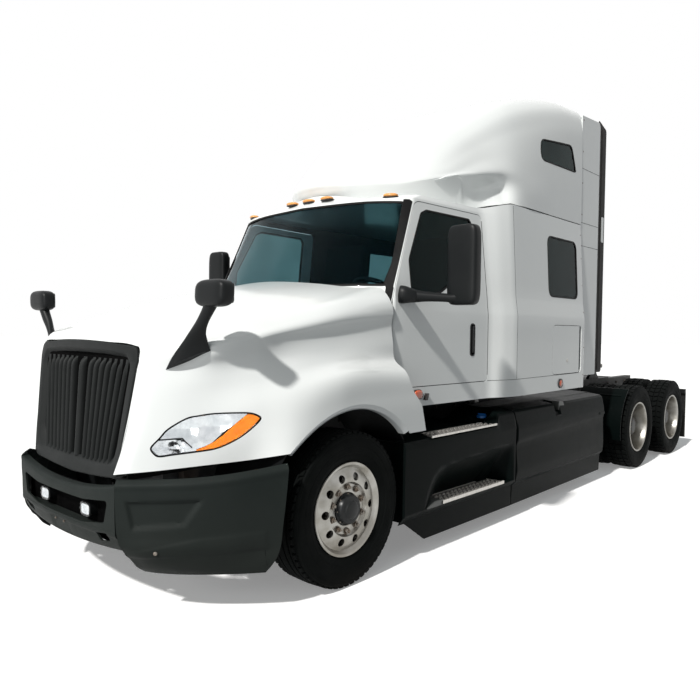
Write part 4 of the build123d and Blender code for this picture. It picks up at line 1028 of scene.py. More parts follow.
# plan of the left end at its heights: across, back; the last point is where the end turns inwards
END_PLANS = [
    (0.262, [(0.618, -1.125), (0.7, -1.085), (0.8, -1.015), (0.9, -0.925), (0.99, -0.83), (1.07, -0.735),
             (1.125, -0.66)]),
    (0.3, [(0.618, -1.175), (0.71, -1.125), (0.82, -1.045), (0.92, -0.945), (1.01, -0.835), (1.09, -0.73),
           (1.15, -0.64)]),
    (0.35, [(0.618, -1.213), (0.72, -1.165), (0.84, -1.065), (0.94, -0.96), (1.03, -0.835), (1.11, -0.715),
            (1.175, -0.62)]),
    (0.405, [(0.618, -1.258), (0.73, -1.2), (0.85, -1.085), (0.95, -0.975), (1.045, -0.84), (1.12, -0.71),
             (1.187, -0.605)]),
    (0.44, [(0.618, -1.281), (0.73, -1.213), (0.855, -1.095), (0.955, -0.985), (1.05, -0.848),
            (1.125, -0.715), (1.191, -0.6)]),
    (0.5, [(0.618, -1.298), (0.73, -1.212), (0.858, -1.092), (0.958, -0.98), (1.052, -0.845), (1.13, -0.712),
           (1.195, -0.595)]),
    (0.64, [(0.618, -1.309), (0.735, -1.213), (0.865, -1.095), (0.965, -0.98), (1.06, -0.842), (1.137, -0.7),
            (1.202, -0.578)]),
    (0.76, [(0.618, -1.314), (0.735, -1.218), (0.87, -1.098), (0.972, -0.978), (1.065, -0.84),
            (1.14, -0.695), (1.206, -0.566)]),
    (0.8, [(0.618, -1.313), (0.735, -1.217), (0.872, -1.096), (0.974, -0.975), (1.065, -0.838),
           (1.14, -0.692), (1.206, -0.563)]),
]
LEDGE = [(0.0105, 0.012), (0.03, 0.026), (0.036, 0.01)]        # how far in, how much higher
EDGE_HEIGHTS = [0.787, 0.792, 0.798, 0.806, 0.82, 0.838, 0.858]     # the ledge's front edge
LEVEL_UP_TO = 0.44                                  # above it the plans follow the ledge's slope
top_height, last = END_PLANS[-1]
end_net = []
for z, plan in END_PLANS:
    share = max((z - LEVEL_UP_TO) / (top_height - LEVEL_UP_TO), 0)
    end_net.append([(x, y, z + (edge - top_height) * share) for (x, y), edge in zip(plan, EDGE_HEIGHTS)])
inward = []
for before, after in zip(last[:1] + last[:-1], last[1:] + last[-1:]):
    run = Vector((after[0] - before[0], after[1] - before[1])).normalized()
    inward.append((-run.y, run.x))
for reach, rise in LEDGE:
    end_net.append([(x + nx * reach, y + ny * reach, edge + rise)
                    for (x, y), (nx, ny), edge in zip(last, inward, EDGE_HEIGHTS)])
end_grid = smooth_surface(list(reversed(end_net)), 9, 22, True)
# seen from the front, across and up: the dished panel and the raised strip under it
DISH = [(0.655, 0.7), (0.98, 0.716), (0.905, 0.56), (0.68, 0.535)]
LOWER_SWELL = [(0.6, 0.47), (0.95, 0.5), (1.16, 0.56), (1.16, 0.4), (0.6, 0.36)]


def ramp(t):
    """A smooth step from 0 to 1."""
    t = np.clip(t, 0, 1)
    return t * t * (3 - 2 * t)


def dented(grid, outline, depth, edge):
    """The surface pushed in inside an outline drawn across and up, with sloping edges."""
    x = grid[:, :, 0]
    z = grid[:, :, 2]
    inside = np.full(x.shape, 9.0)
    area = sum(a[0] * b[1] - b[0] * a[1] for a, b in zip(outline, outline[1:] + outline[:1]))
    for a, b in zip(outline, outline[1:] + outline[:1]):
        run = np.array(b) - np.array(a)
        run = run / np.hypot(*run) * (1 if area > 0 else -1)
        inside = np.minimum(inside, (z - a[1]) * run[0] - (x - a[0]) * run[1])
    return grid - grid_normals(grid) * (depth * ramp(inside / edge))[:, :, None]


def bumper_end():
    grid = dented(dented(end_grid, DISH, 0.016, 0.022), LOWER_SWELL, -0.004, 0.02)
    screw = hex_head("screw", 0.016, 0.005, nut_steel)
    turn = Matrix.Rotation(math.radians(-48), 4, "Z")
    screw.data.transform(Matrix.Translation(at(0.79, -1.166, 0.415)) @ turn)
    return joined("end", [shell("end", grid, 0, 0.008, bumper_plastic), screw])


bumper_end_pair = two_sided("bumper_end_pair", bumper_end, 40)
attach(bumper_end_pair, "root")
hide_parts("bumper_ends")

# section of the middle moulding at its centre: back, up; then how far it goes back and up at the seam
MIDDLE_SECTION = [(-1.29, 0.727, 0.02, 0.062), (-1.322, 0.724, 0.022, 0.06), (-1.34, 0.716, 0.03, 0.062),
                  (-1.347, 0.704, 0.034, 0.062), (-1.348, 0.69, 0.035, 0.06), (-1.346, 0.655, 0.035, 0.0),
                  (-1.345, 0.59, 0.035, 0.0), (-1.346, 0.525, 0.038, 0.0), (-1.349, 0.515, 0.04, 0.0),
                  (-1.345, 0.495, 0.042, 0.0), (-1.335, 0.48, 0.044, 0.0), (-1.322, 0.44, 0.048, 0.004),
                  (-1.305, 0.4, 0.054, 0.01), (-1.285, 0.386, 0.05, 0.02)]
MIDDLE_HALF = 0.614
PLATE_PAD = [(-0.13, 0.5), (0.13, 0.5), (0.11, 0.4), (-0.11, 0.4)]
FOREMOST = -1.3495
shares = [k / 24 for k in range(-24, 25)]
middle_rows = [[tuple(at(MIDDLE_HALF * share, y + bow * abs(share) ** 2, z + rise * abs(share) ** 2.2))
                for share in shares] for y, z, bow, rise in reversed(MIDDLE_SECTION)]
middle_grid = dented(through(np.array(middle_rows), 4), PLATE_PAD, -0.006, 0.006)
middle_grid[:, :, 1] = np.maximum(middle_grid[:, :, 1], at(0, FOREMOST, 0).y)
middle = shell("middle", middle_grid, 0, 0.012, bumper_plastic, -1)
LAMP_SLOT = [(-0.548, 0.69), (-0.3, 0.662), (0.3, 0.662), (0.548, 0.69), (0.512, 0.56), (0.3, 0.528),
             (-0.3, 0.528), (-0.512, 0.56)]
TOW_HOLE = [(0.42, 0.492), (0.535, 0.505), (0.535, 0.455), (0.44, 0.44)]
SLOT_FLOOR = [(-0.55, -1.31), (0, -1.335), (0.55, -1.31), (0.55, -1.25), (-0.55, -1.25)]
opened(middle, rounded(LAMP_SLOT, 0.02), "front", -1.4, -1.2)
for sign in (-1, 1):
    opened(middle, rounded([(sign * x, z) for x, z in TOW_HOLE], 0.012), "front", -1.4, -1.2)
tidy(middle, 40)


def rectangle(first, last, low, high):
    """The corners of a rectangle, from first to last and from low to high."""
    return [(first, low), (last, low), (last, high), (first, high)]


# the slot's back wall is near black: painted shade for the depth of the slot
slot_back = prism("slot_back", rectangle(-0.6, 0.6, 0.43, 0.715), "front", -1.258, -1.25, dark_screen_and_painted_shade)
slot_floor = prism("slot_floor", SLOT_FLOOR, "top", 0.508, 0.514, bumper_plastic)
plate_bolts = []
for x in (-0.055, 0.055):
    bolt = hex_head("bolt", 0.011, 0.006, nut_steel)
    bolt.data.transform(Matrix.Translation(at(x, -1.333, 0.48)) @ Matrix.Rotation(-math.pi / 2, 4, "Z"))
    plate_bolts.append(bolt)
bumper_middle = tidy(joined("bumper_middle", [middle, slot_back, slot_floor] + plate_bolts), 40)
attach(bumper_middle, "root")
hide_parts("bumper_center")

FOG_LAMP_AT = (0.268, 0.59)
# how much smaller than the case each layer is, where its front and back lie, what it's made of
FOG_LAMP_LAYERS = [(0, -1.305, -1.258, black_plastic), (0.004, -1.311, -1.307, clear_cover),
                   (0.014, -1.3055, -1.3, lamp_chrome)]
parts = []
for sign in (-1, 1):
    outline = rounded([(sign * FOG_LAMP_AT[0] + dx, FOG_LAMP_AT[1] + dz)
                       for dx, dz in rectangle(-0.062, 0.062, -0.043, 0.043)], 0.036)
    parts += [prism("layer", grown(outline, -smaller), "front", low, high, material)
              for smaller, low, high, material in FOG_LAMP_LAYERS]
fog_lamp_pair = joined("fog_lamp_pair", parts)
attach(fog_lamp_pair, "root")
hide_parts("fog_lamps")

# ---- mirrors --------------------------------------------------------------------------------
# Heads and arms of grained black plastic with silvered glass behind: a tall pair on arms from the
# doors and a squat pair on stalks whose feet spread out on the hood's shoulders.
mirror_glass = finish("mirror_glass", (0.72, 0.75, 0.77), (0.66, 0.69, 0.71), 3.0, (0.02, 0.04), metal=1.0)
mirror_plastic = finish("mirror_plastic", (0.0055, 0.0065, 0.007), (0.0085, 0.0095, 0.01), 3.0, (0.34, 0.46),
                        grain=0.0003, grain_size=500, specular=0.14)


def squared_circle(angle, power):
    """A place on a circle that a power above 2 makes squarer."""
    return [math.copysign(abs(share) ** (2 / power), share) for share in (math.cos(angle), math.sin(angle))]


def pillow(name, middle, size, power, material, shear=(0, 0), steps=40):
    """A rounded box: a super-ellipsoid, leaned over by a shear of x and y with height."""
    sections = []
    for i in range(1, steps):
        reach, lift = squared_circle(math.pi * i / steps - math.pi / 2, power[1])
        section = []
        for k in range(48):
            x, y = squared_circle(math.tau * k / 48, power[0])
            section.append((middle[0] + size[0] * reach * x + shear[0] * lift,
                            middle[1] + size[1] * reach * y + shear[1] * lift, middle[2] + size[2] * lift))
        sections.append(section)
    return swept(name, sections, material)


def limb(name, path, material, sides=20):
    """An arm through places along it, each with its half width and half depth."""
    spots = through(np.array([tuple(p) + (w, d) for p, w, d in path]), 6)
    sections = []
    for k, row in enumerate(spots):
        before = spots[max(k - 1, 0)][:3]
        after = spots[min(k + 1, len(spots) - 1)][:3]
        ahead = Vector(after - before).normalized()
        across = ahead.cross(Vector((0, 1, 0))).normalized()
        deep = ahead.cross(across).normalized()
        sections.append([Vector(row[:3]) + across * row[3] * math.cos(math.tau * i / sides)
                         + deep * row[4] * math.sin(math.tau * i / sides) for i in range(sides)])
    return swept(name, sections, material)


def mirrored_pair(name, build, body, node):
    """Build a piece for each side: one on each body, the right one mirrored."""
    for hand, sign in SIDES.items():
        piece = build() if sign > 0 else tidy(flipped(build()), 35)
        piece.name = piece.data.name = f"{name}_{hand}"
        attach(piece, f"{body}_{hand}")
        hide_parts(f"{node}_{hand}")


DOOR_MIRROR_X = 1.4225


def door_mirror():
    head = pillow("head", at(DOOR_MIRROR_X, 0.905, 2.125), (0.1215, 0.054, 0.284), (4.5, 7.0), mirror_plastic)
    glass = [prism("glass", rounded(rectangle(DOOR_MIRROR_X - 0.1, DOOR_MIRROR_X + 0.1, low, high), 0.02),
                   "front", 0.9585, 0.9598, mirror_glass) for low, high in ((1.9, 2.14), (2.155, 2.365))]
    arm = limb("arm", [(at(1.065, 0.705, 1.905), 0.05, 0.05), (at(1.12, 0.73, 1.904), 0.047, 0.045),
                       (at(1.2, 0.77, 1.9), 0.036, 0.034), (at(1.3, 0.83, 1.894), 0.031, 0.03),
                       (at(1.36, 0.87, 1.89), 0.032, 0.032), (at(1.4, 0.9, 1.9), 0.036, 0.035)],
               mirror_plastic)
    foot = limb("foot", [(at(1.05, 0.65, 1.915), 0.064, 0.045), (at(1.078, 0.662, 1.912), 0.064, 0.05),
                         (at(1.105, 0.69, 1.908), 0.055, 0.048), (at(1.125, 0.72, 1.905), 0.048, 0.044)],
                mirror_plastic)
    return tidy(joined("mirror", [head, arm, foot] + glass), 40)


mirrored_pair("door_mirror", door_mirror, "door", "mirror")

# the leg of a hood mirror: middle, half its length and half its depth, each across, back and up
LEG = [((0.818, -0.98, 1.47), (0.1, 0.08, 0.058), (-0.02, 0.034, -0.012)),
       ((0.846, -0.986, 1.54), (0.084, 0.055, 0.045), (-0.012, 0.032, 0.0)),
       ((0.9, -0.99, 1.612), (0.062, 0.022, 0.022), (0.0, 0.029, 0.0)),
       ((0.96, -0.988, 1.688), (0.047, 0.0, 0.0), (0.0, 0.028, 0.0)),
       ((1.018, -0.985, 1.76), (0.045, 0.0, 0.0), (0.0, 0.032, 0.0)),
       ((1.045, -0.985, 1.8), (0.052, 0.0, 0.0), (0.0, 0.036, 0.0))]


def hood_mirror():
    head = pillow("head", at(1.062, -0.983, 1.843), (0.129, 0.054, 0.074), (4.4, 3.4), mirror_plastic,
                  shear=(0.004, 0))
    glass = prism("glass", rounded([(0.965, 1.79), (1.165, 1.79), (1.168, 1.898), (0.968, 1.898)], 0.02),
                  "front", -0.931, -0.93, mirror_glass)
    spots = through(np.array([[tuple(at(*middle)), length, depth] for middle, length, depth in LEG]), 6)
    leg = swept("leg", [[Vector(middle) + Vector(length) * math.cos(math.tau * k / 28)
                         + Vector(depth) * math.sin(math.tau * k / 28) for k in range(28)]
                        for middle, length, depth in spots], mirror_plastic)
    return joined("hood_mirror", [head, leg, glass])


hood_mirror_pair = two_sided("hood_mirror_pair", hood_mirror, 40)
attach(hood_mirror_pair, "hood")
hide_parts("hood_mirrors")

# ---- cab ------------------------------------------------------------------------------------
# A welded and riveted aluminium shell with the sleeper built on, its panels flared out behind the
# doors and folded along the belt line. The same gloss white as the hood, with a dark lining inside.
CAB_WALL = 0.02
LONGEST_RUN = 0.12          # of the cab's grid, along a plan
seal_rubber = finish("seal_rubber", (0.003, 0.003, 0.0032), (0.006, 0.006, 0.006), 12.0, (0.5, 0.7),
                     specular=0.1)


def cab_plan(front, door_back, flare, sleeper_side):
    """A plan of the left half: across, back and the rounding of each corner.

    The front is given whole; behind it come the places across of the door's back edge, of the
    middle of the flare and of the sleeper's side.
    """
    return front + [(door_back, 1.815, 0.1), (flare, 1.96, 0.08), (sleeper_side, 2.11, 0.1),
                    (sleeper_side, 3.59, 0.045), (0, 3.59, 0)]


CAB_PLANS = [
    (1.09, cab_plan([(0, 0.505, 0), (0.5, 0.505, 0.2), (0.9, 0.51, 0.05), (1.01, 0.52, 0.04),
                     (1.05, 0.552, 0.03)], 1.105, 1.165, 1.205)),
    (1.79, cab_plan([(0, 0.36, 0), (0.5, 0.4, 0.4), (0.85, 0.48, 0.1), (0.985, 0.552, 0.06),
                     (1.05, 0.592, 0.03)], 1.105, 1.165, 1.205)),
    (1.96, cab_plan([(0, 0.3, 0), (0.5, 0.35, 0.6), (0.83, 0.465, 0.25), (0.965, 0.572, 0.06),
                     (1.04, 0.604, 0.03)], 1.088, 1.142, 1.182)),
    (2.66, cab_plan([(0, 0.69, 0), (0.49, 0.724, 0.6), (0.79, 0.802, 0.25), (0.905, 0.862, 0.08),
                     (0.958, 0.926, 0.03)], 1.0116, 1.0864, 1.1438)),
    (2.766, cab_plan([(0, 0.815, 0), (0.48, 0.845, 0.6), (0.77, 0.915, 0.25), (0.885, 0.965, 0.08),
                      (0.942, 1.02, 0.05)], 1.0, 1.078, 1.138)),
]


def rounded_plan(corners):
    """The plan's corners as small arcs, the same number of points whatever the rounding."""
    out = [corners[0][:2]]
    for before, here, after in zip(corners, corners[1:], corners[2:]):
        middle = Vector(here[:2])
        back = Vector(before[:2]) - middle
        ahead = Vector(after[:2]) - middle
        reach = min(here[2] * 0.5 + 0.001, back.length * 0.45, ahead.length * 0.45)
        out += corner_arc(middle, back, ahead, reach, 6)
    return out + [corners[-1][:2]]


def divided(line, counts):
    """The same line with each of its runs divided into as many pieces as its count says."""
    out = []
    for (x0, y0), (x1, y1), pieces in zip(line, line[1:], counts):
        out += [(x0 + (x1 - x0) * k / pieces, y0 + (y1 - y0) * k / pieces) for k in range(pieces)]
    return out + [line[-1]]


def cab_grid(plans, rows_between, creases):
    """A dense grid over the cab's front, sides and back: rows at each height, the whole way round."""
    outlines = [rounded_plan(corners) for height, corners in plans]
    counts = [max(1, math.ceil(max(math.dist(o[k], o[k + 1]) for o in outlines) / LONGEST_RUN))
              for k in range(len(outlines[0]) - 1)]
    rows = []
    for (height, corners), outline in zip(plans, outlines):
        half = divided(outline, counts)
        whole = [(-x, y) for x, y in reversed(half[1:])] + half
        rows.append([tuple(at(x, y, height)) for x, y in whole[:-1] + whole[:1]])
    return through(np.array(rows), rows_between, creases)


def ring_shell(name, grid, depth, thickness, material):
    """A closed wall round a grid whose first and last columns meet."""
    normal = grid_normals(np.concatenate([grid[:, -2:-1], grid, grid[:, 1:2]], axis=1))[:, 1:-1]
    normal[:, 0] = normal[:, -1] = (normal[:, 0] + normal[:, -1]) / 2
    middle = grid.mean(axis=(0, 1))
    facing = np.sign(np.sum(normal * (grid - middle) * np.array([1, 1, 0])))
    outer = grid - normal * facing * depth
    inner = grid - normal * facing * (depth + thickness)
    inner[0, :, 2] = outer[0, :, 2]
    inner[-1, :, 2] = outer[-1, :, 2]
    sections = [[Vector(v) for v in outer[:, k]] + [Vector(v) for v in inner[::-1, k]]
                for k in range(grid.shape[1] - 1)]
    return swept(name, sections, material, closed=True)


ROOF_LINE = 2.77
ROOF_DROP = 0.07           # how much lower it is over the door than at the nose and the sleeper
DROP_LOW, DROP_HIGH = 2.66, 3.25


def dropped(place):
    """The height of a place near the roof line, let down over the door and beside the cap's nose."""
    x, y, z = np.moveaxis(np.asarray(place), -1, 0)
    beside = ramp(np.abs(x) / 0.65)
    ahead = 1 - ramp((y - FRONT_AXLE_Y - 1.75) / 0.4)
    near = np.where(z < ROOF_LINE, (z - DROP_LOW) / (ROOF_LINE - DROP_LOW),
                    (DROP_HIGH - z) / (DROP_HIGH - ROOF_LINE))
    return z - ROOF_DROP * beside * ahead * np.clip(near, 0, 1)


cab_surface = cab_grid(CAB_PLANS, 6, (1, 2, 3))
cab_surface[:, :, 2] = dropped(cab_surface)
cab_tree = surface_tree(cab_surface)
foot_line = cab_surface[0]
front_columns = np.flatnonzero((foot_line[:, 1] - FRONT_AXLE_Y < 1.2) & (np.abs(foot_line[:, 0]) < 1.08))
left_columns = np.flatnonzero((foot_line[:, 0] > 1.03) & (foot_line[:, 1] - FRONT_AXLE_Y < 3.56))
nose_patch = cab_surface[:, front_columns]
side_patch = cab_surface[:, left_columns]
# side view, back and up
DOOR_EDGE = [(0.569, 1.395), (0.572, 1.76), (0.612, 1.965), (0.93, 2.637), (1.77, 2.637), (1.797, 2.6),
             (1.797, 1.238), (0.69, 1.238)]
DOOR_PANE = [(0.785, 2.01), (0.788, 1.945), (0.835, 1.92), (1.06, 1.925), (1.16, 1.95), (1.27, 2.01),
             (1.4, 2.035), (1.64, 2.04), (1.662, 2.065), (1.662, 2.545), (1.625, 2.588), (1.06, 2.588),
             (0.985, 2.555), (0.788, 2.18)]
SCREEN_EDGE = [(-0.992, 1.972), (0.992, 1.972), (0.976, 2.2), (0.924, 2.628), (0.64, 2.644), (0, 2.654),
               (-0.64, 2.644), (-0.924, 2.628), (-0.976, 2.2)]
SEAM = 0.005
PANE_ROUNDING = [0.05, 0.03, 0.03, 0.1, 0.15, 0.15, 0.1, 0.03, 0.03, 0.05, 0.04, 0.05, 0.05, 0.1]
door_edge = rounded(DOOR_EDGE, [0.03, 0.15, 0.25, 0.1, 0.03, 0.03, 0.05, 0.05])
door_pane = rounded(DOOR_PANE, PANE_ROUNDING)
sleeper_pane = rounded(rectangle(2.78, 3.45, 1.99, 2.575), 0.09)
luggage_edge = rounded(rectangle(2.84, 3.5, 1.25, 1.72), 0.06)
screen_edge = rounded(SCREEN_EDGE, [0.03, 0.03, 0.1, 0.035, 0.3, 0.5, 0.3, 0.035, 0.1])
cab_lining = finish("cab_lining", (0.0012, 0.0014, 0.0014), (0.002, 0.0022, 0.0022), 3.0, (0.8, 0.95),
                    specular=0.02)
cab_wall = ring_shell("cab_wall", cab_surface, 0, CAB_WALL, white_paint)
for outline in (grown(door_edge, SEAM), sleeper_pane, grown(luggage_edge, SEAM)):
    opened_twice(cab_wall, outline, 0.9, 1.35)
opened(cab_wall, screen_edge, "front", 0.1, 1.0)
cab_wall.data.materials.append(cab_lining)
for face in cab_wall.data.polygons:
    if cab_tree.find_nearest(face.center)[3] > CAB_WALL * 0.6:
        face.material_index = 1
CAB_MIDDLE_Y = 2.05


def inner_plan(corners, across, along):
    """The whole plan drawn in a little, by a share across and a share along."""
    half = [(x * across, CAB_MIDDLE_Y + (y - CAB_MIDDLE_Y) * along) for x, y in rounded_plan(corners)[1:-1]]
    return half + [(-x, y) for x, y in reversed(half)]


cab_floor = prism("cab_floor", inner_plan(CAB_PLANS[0][1], 0.985, 0.985), "top", 1.092, 1.12, cab_lining)
# side view of the dark trim ahead of the door: back, up
PILLAR_TRIM = [(0.562, 1.1), (0.563, 1.395), (0.566, 1.763), (0.6, 1.969), (0.742, 2.275), (0.905, 2.628),
               (0.893, 2.645), (0.862, 2.645), (0.842, 2.6), (0.687, 2.2), (0.583, 2.0), (0.566, 1.9),
               (0.549, 1.8), (0.549, 1.1)]
corner_columns = np.flatnonzero((foot_line[:, 0] > 0.8) & (foot_line[:, 1] - FRONT_AXLE_Y < 0.9))
corner_patch = cab_surface[:, corner_columns]
# side view of thin dark joints between panels: first and last place of each, back and up
PANEL_JOINTS = [((1.8, 1.238), (3.56, 1.245)), ((2.135, 1.24), (2.135, 2.755)),
                ((3.535, 1.2), (3.535, 2.755))]
JOINT_HALF = 0.0018
SCREW_Y = 3.5625
SCREW_HEIGHTS = (1.22, 1.5, 1.86, 2.14, 2.42, 2.66)


def trim():
    """Dark trim ahead of the door, thin joints between panels, and screws down the back edge."""
    pillar = shell("pillar", corner_patch, -0.0028, 0.005, seal_rubber, -1)
    pieces = [kept(pillar, PILLAR_TRIM, "side", 0.7, 1.3)]
    for (y0, z0), (y1, z1) in PANEL_JOINTS:
        run = Vector((y1 - y0, z1 - z0)).normalized() * JOINT_HALF
        edge = [(y0 - run.y, z0 + run.x), (y1 - run.y, z1 + run.x), (y1 + run.y, z1 - run.x),
                (y0 + run.y, z0 - run.x)]
        line = shell("joint", side_patch, -0.0004, 0.003, seal_rubber, -1)
        pieces.append(kept(line, edge, "side", 0.9, 1.3))
    for z in SCREW_HEIGHTS:
        face_x = side_of(cab_tree, SCREW_Y, z).x
        pieces.append(prism("screw", disc((SCREW_Y, z), 0.006, 12), "side", face_x - 0.004, face_x + 0.0015,
                            nut_steel))
    return joined("trim", pieces)


roof_plan = inner_plan(CAB_PLANS[-1][1], 0.992, 0.994)
roof_top = prism("roof_top", roof_plan, "top", 2.744, 2.7655, white_paint)
for vertex in roof_top.data.vertices:
    vertex.co.z = dropped(vertex.co)
roof_joint = prism("roof_joint", [(x * 0.998, y) for x, y in roof_plan if y > 2.1], "top", 2.764, 2.7745,
                   seal_rubber)
cab_parts = [cab_wall, cab_floor, roof_top, roof_joint, trim(), flipped(trim())]
cab_piece = tidy(joined("cab_piece", cab_parts), 30)
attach(cab_piece, "root")
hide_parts("cab_body")

# ---- doors ----------------------------------------------------------------------------------
# Hung at the front on hidden hinges and set flush with a thin black seam. A stepped window line,
# a black pull handle in a recess at the back and a rubber seal round the tinted glass.
tinted_glass = clear_plastic("tinted_glass", (0.15, 0.25, 0.25), (0.12, 0.21, 0.21), 0.01, 4.0, 0.05,
                             (0.55, 0.98, 0.95))
HANDLE_Y, HANDLE_Z = 1.575, 1.585
LOCK_Y, LOCK_Z = 3.17, 1.375
DOOR_SPAN = ("side", 0.9, 1.35)
SEAL_PROUD = 0.0008


def seal_round(outline, width, surface, thickness, span, outwards=-1):
    """A rubber strip along the inside of an outline, standing a little proud of the surface."""
    strip = kept(shell("seal", surface, -SEAL_PROUD, thickness, seal_rubber, outwards), outline, *span)
    return opened(strip, grown(outline, -width), *span)


def pane(outline, surface, thickness, material, span, outwards=-1):
    """Curved glass let in under a surface, a little smaller than its opening."""
    return kept(shell("pane", surface, 0.006, thickness, material, outwards), grown(outline, -0.002), *span)


def door():
    skin = shell("skin", side_patch, 0, 0.022, white_paint, -1)
    kept(skin, grown(door_edge, -0.001), *DOOR_SPAN)
    lining = shell("lining", side_patch, 0.0225, 0.012, cab_lining, -1)
    kept(lining, grown(door_edge, -0.004), *DOOR_SPAN)
    for layer in (skin, lining):
        opened(layer, door_pane, *DOOR_SPAN)
    recess = rounded(rectangle(HANDLE_Y - 0.036, HANDLE_Y + 0.036, HANDLE_Z - 0.135, HANDLE_Z + 0.135), 0.034)
    opened(skin, recess, *DOOR_SPAN)
    face_x = side_of(cab_tree, HANDLE_Y, HANDLE_Z).x
    cup = prism("cup", grown(recess, -0.0005), "side", face_x - 0.03, face_x - 0.02, seal_rubber)
    rim = prism("rim", grown(recess, -0.0005), "side", face_x - 0.018, face_x + 0.003, mirror_plastic)
    opened(rim, grown(recess, -0.009), "side", face_x - 0.05, face_x + 0.05)
    grip = pillow("grip", at(face_x - 0.004, HANDLE_Y + 0.008, HANDLE_Z + 0.005), (0.009, 0.013, 0.112),
                  (3, 5), mirror_plastic)
    seal = seal_round(door_pane, 0.014, side_patch, 0.018, DOOR_SPAN)
    return tidy(joined("door_piece", [skin, lining, cup, rim, grip, seal]), 30)


def door_glass():
    return tidy(pane(door_pane, side_patch, 0.005, tinted_glass, DOOR_SPAN), 30)


def luggage_door():
    skin = kept(shell("luggage", side_patch, 0, 0.02, white_paint, -1), luggage_edge, *DOOR_SPAN)
    face_x = side_of(cab_tree, LOCK_Y, LOCK_Z).x
    lock = prism("lock", disc((LOCK_Y, LOCK_Z), 0.017, 24), "side", face_x - 0.01, face_x + 0.002,
                 wheel_alloy)
    return tidy(joined("luggage", [skin, lock]), 30)


mirrored_pair("door_piece", door, "door", "door")
mirrored_pair("door_window", door_glass, "door", "door_glass")
mirrored_pair("luggage_lid", luggage_door, "luggage_door", "luggage_door")

# ---- windshield -----------------------------------------------------------------------------
# One curved laminated pane, lightly tinted, bonded in behind a wide black rubber edge.
screen_glass = clear_plastic("screen_glass", (0.34, 0.5, 0.55), (0.3, 0.46, 0.52), 0.01, 3.0, 0.05,
                             (0.3, 0.85, 1.0))
SCREEN_SPAN = ("front", 0.1, 1.45)
screen_pane = pane(screen_edge, nose_patch, 0.006, screen_glass, SCREEN_SPAN)
screen_seal = seal_round(screen_edge, 0.018, nose_patch, 0.02, SCREEN_SPAN)
windshield_piece = tidy(joined("windshield_piece", [screen_pane, screen_seal]), 30)
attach(windshield_piece, "root")
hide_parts("windshield")

# ---- roof fairing ---------------------------------------------------------------------------
# A tall moulded plastic cap sprayed to match, swept back from a rounded nose over the visor line.
# Two soft creases climb back along each side and an undercut shadows the flare behind the door.
# rows from the middle outwards and down; across, back, up
ROOF_NET = [
    [(0, 0.85, 2.755), (0, 0.81, 2.805), (0, 0.79, 2.865), (0, 0.85, 2.98), (0, 1.12, 3.235),
     (0, 1.63, 3.525), (0, 2.25, 3.77), (0, 3.0, 3.95), (0, 3.59, 4.005)],
    [(0.25, 0.9, 2.765), (0.25, 0.865, 2.825), (0.25, 0.855, 2.88), (0.24, 0.915, 2.975), (0.3, 1.17, 3.205),
     (0.42, 1.63, 3.505), (0.5, 2.25, 3.765), (0.54, 3.0, 3.95), (0.56, 3.59, 4.0)],
    [(0.44, 1.04, 2.776), (0.46, 1.005, 2.86), (0.47, 1.01, 2.905), (0.47, 1.07, 2.978), (0.56, 1.29, 3.15),
     (0.72, 1.66, 3.415), (0.85, 2.25, 3.74), (0.91, 3.0, 3.945), (0.95, 3.59, 3.985)],
    [(0.58, 1.2, 2.776), (0.62, 1.17, 2.88), (0.635, 1.18, 2.92), (0.655, 1.24, 2.975),
     (0.735, 1.415, 3.085), (0.86, 1.72, 3.31), (1, 2.25, 3.62), (1.06, 3.0, 3.85), (1.085, 3.59, 3.92)],
    [(0.69, 1.36, 2.776), (0.74, 1.325, 2.915), (0.755, 1.335, 2.945), (0.775, 1.39, 2.985),
     (0.835, 1.53, 3.055), (0.925, 1.79, 3.21), (1.055, 2.25, 3.425), (1.11, 3.0, 3.66), (1.125, 3.59, 3.77)],
    [(0.77, 1.52, 2.776), (0.83, 1.48, 2.95), (0.845, 1.495, 2.973), (0.86, 1.545, 3.002),
     (0.9, 1.65, 3.042), (0.97, 1.86, 3.14), (1.09, 2.25, 3.245), (1.125, 3.0, 3.41), (1.132, 3.59, 3.5)],
    [(0.82, 1.65, 2.776), (0.885, 1.635, 2.965), (0.905, 1.65, 2.985), (0.935, 1.71, 3.003),
     (0.985, 1.84, 3.022), (1.052, 2.02, 3.04), (1.119, 2.29, 3.07), (1.131, 3.0, 3.17),
     (1.135, 3.59, 3.225)],
    [(0.83, 1.69, 2.776), (0.88, 1.694, 2.895), (0.883, 1.73, 2.908), (0.894, 1.808, 2.913),
     (0.922, 1.94, 2.92), (1.004, 2.103, 2.925), (1.129, 2.3, 2.925), (1.134, 3.0, 2.965),
     (1.136, 3.59, 2.985)],
    [(0.84, 1.72, 2.776), (0.85, 1.745, 2.776), (0.865, 1.785, 2.776), (0.892, 1.855, 2.776),
     (0.94, 1.975, 2.776), (1.04, 2.12, 2.776), (1.135, 2.3, 2.776), (1.136, 3.0, 2.776),
     (1.136, 3.59, 2.776)],
]
ROOF_PANE = [(2.69, 3.47), (3.34, 3.54), (3.445, 3.29), (3.4, 3.275), (2.668, 3.262)]
roof_grid = smooth_surface(both_halves(ROOF_NET), 7, 9)
roof_grid[:, :, 2] = dropped(roof_grid)
roof_pane = rounded(ROOF_PANE, [0.09, 0.09, 0.05, 0.05, 0.09])
ROOF_WALL = 0.016
ROOF_SPAN = ("side", 0.85, 1.35)
BACK_SHRINK = 0.985
BACK_FOOT = 2.78
roof_shell = shell("roof_shell", roof_grid, 0, ROOF_WALL, white_paint)
opened_twice(roof_shell, roof_pane, *ROOF_SPAN[1:])
back_outline = [(row[-1][0] * BACK_SHRINK, BACK_FOOT + (row[-1][2] - BACK_FOOT) * BACK_SHRINK)
                for row in both_halves(ROOF_NET)]
roof_back = prism("roof_back", back_outline, "front", 3.565, 3.589, white_paint)
tidy(roof_shell, 30)
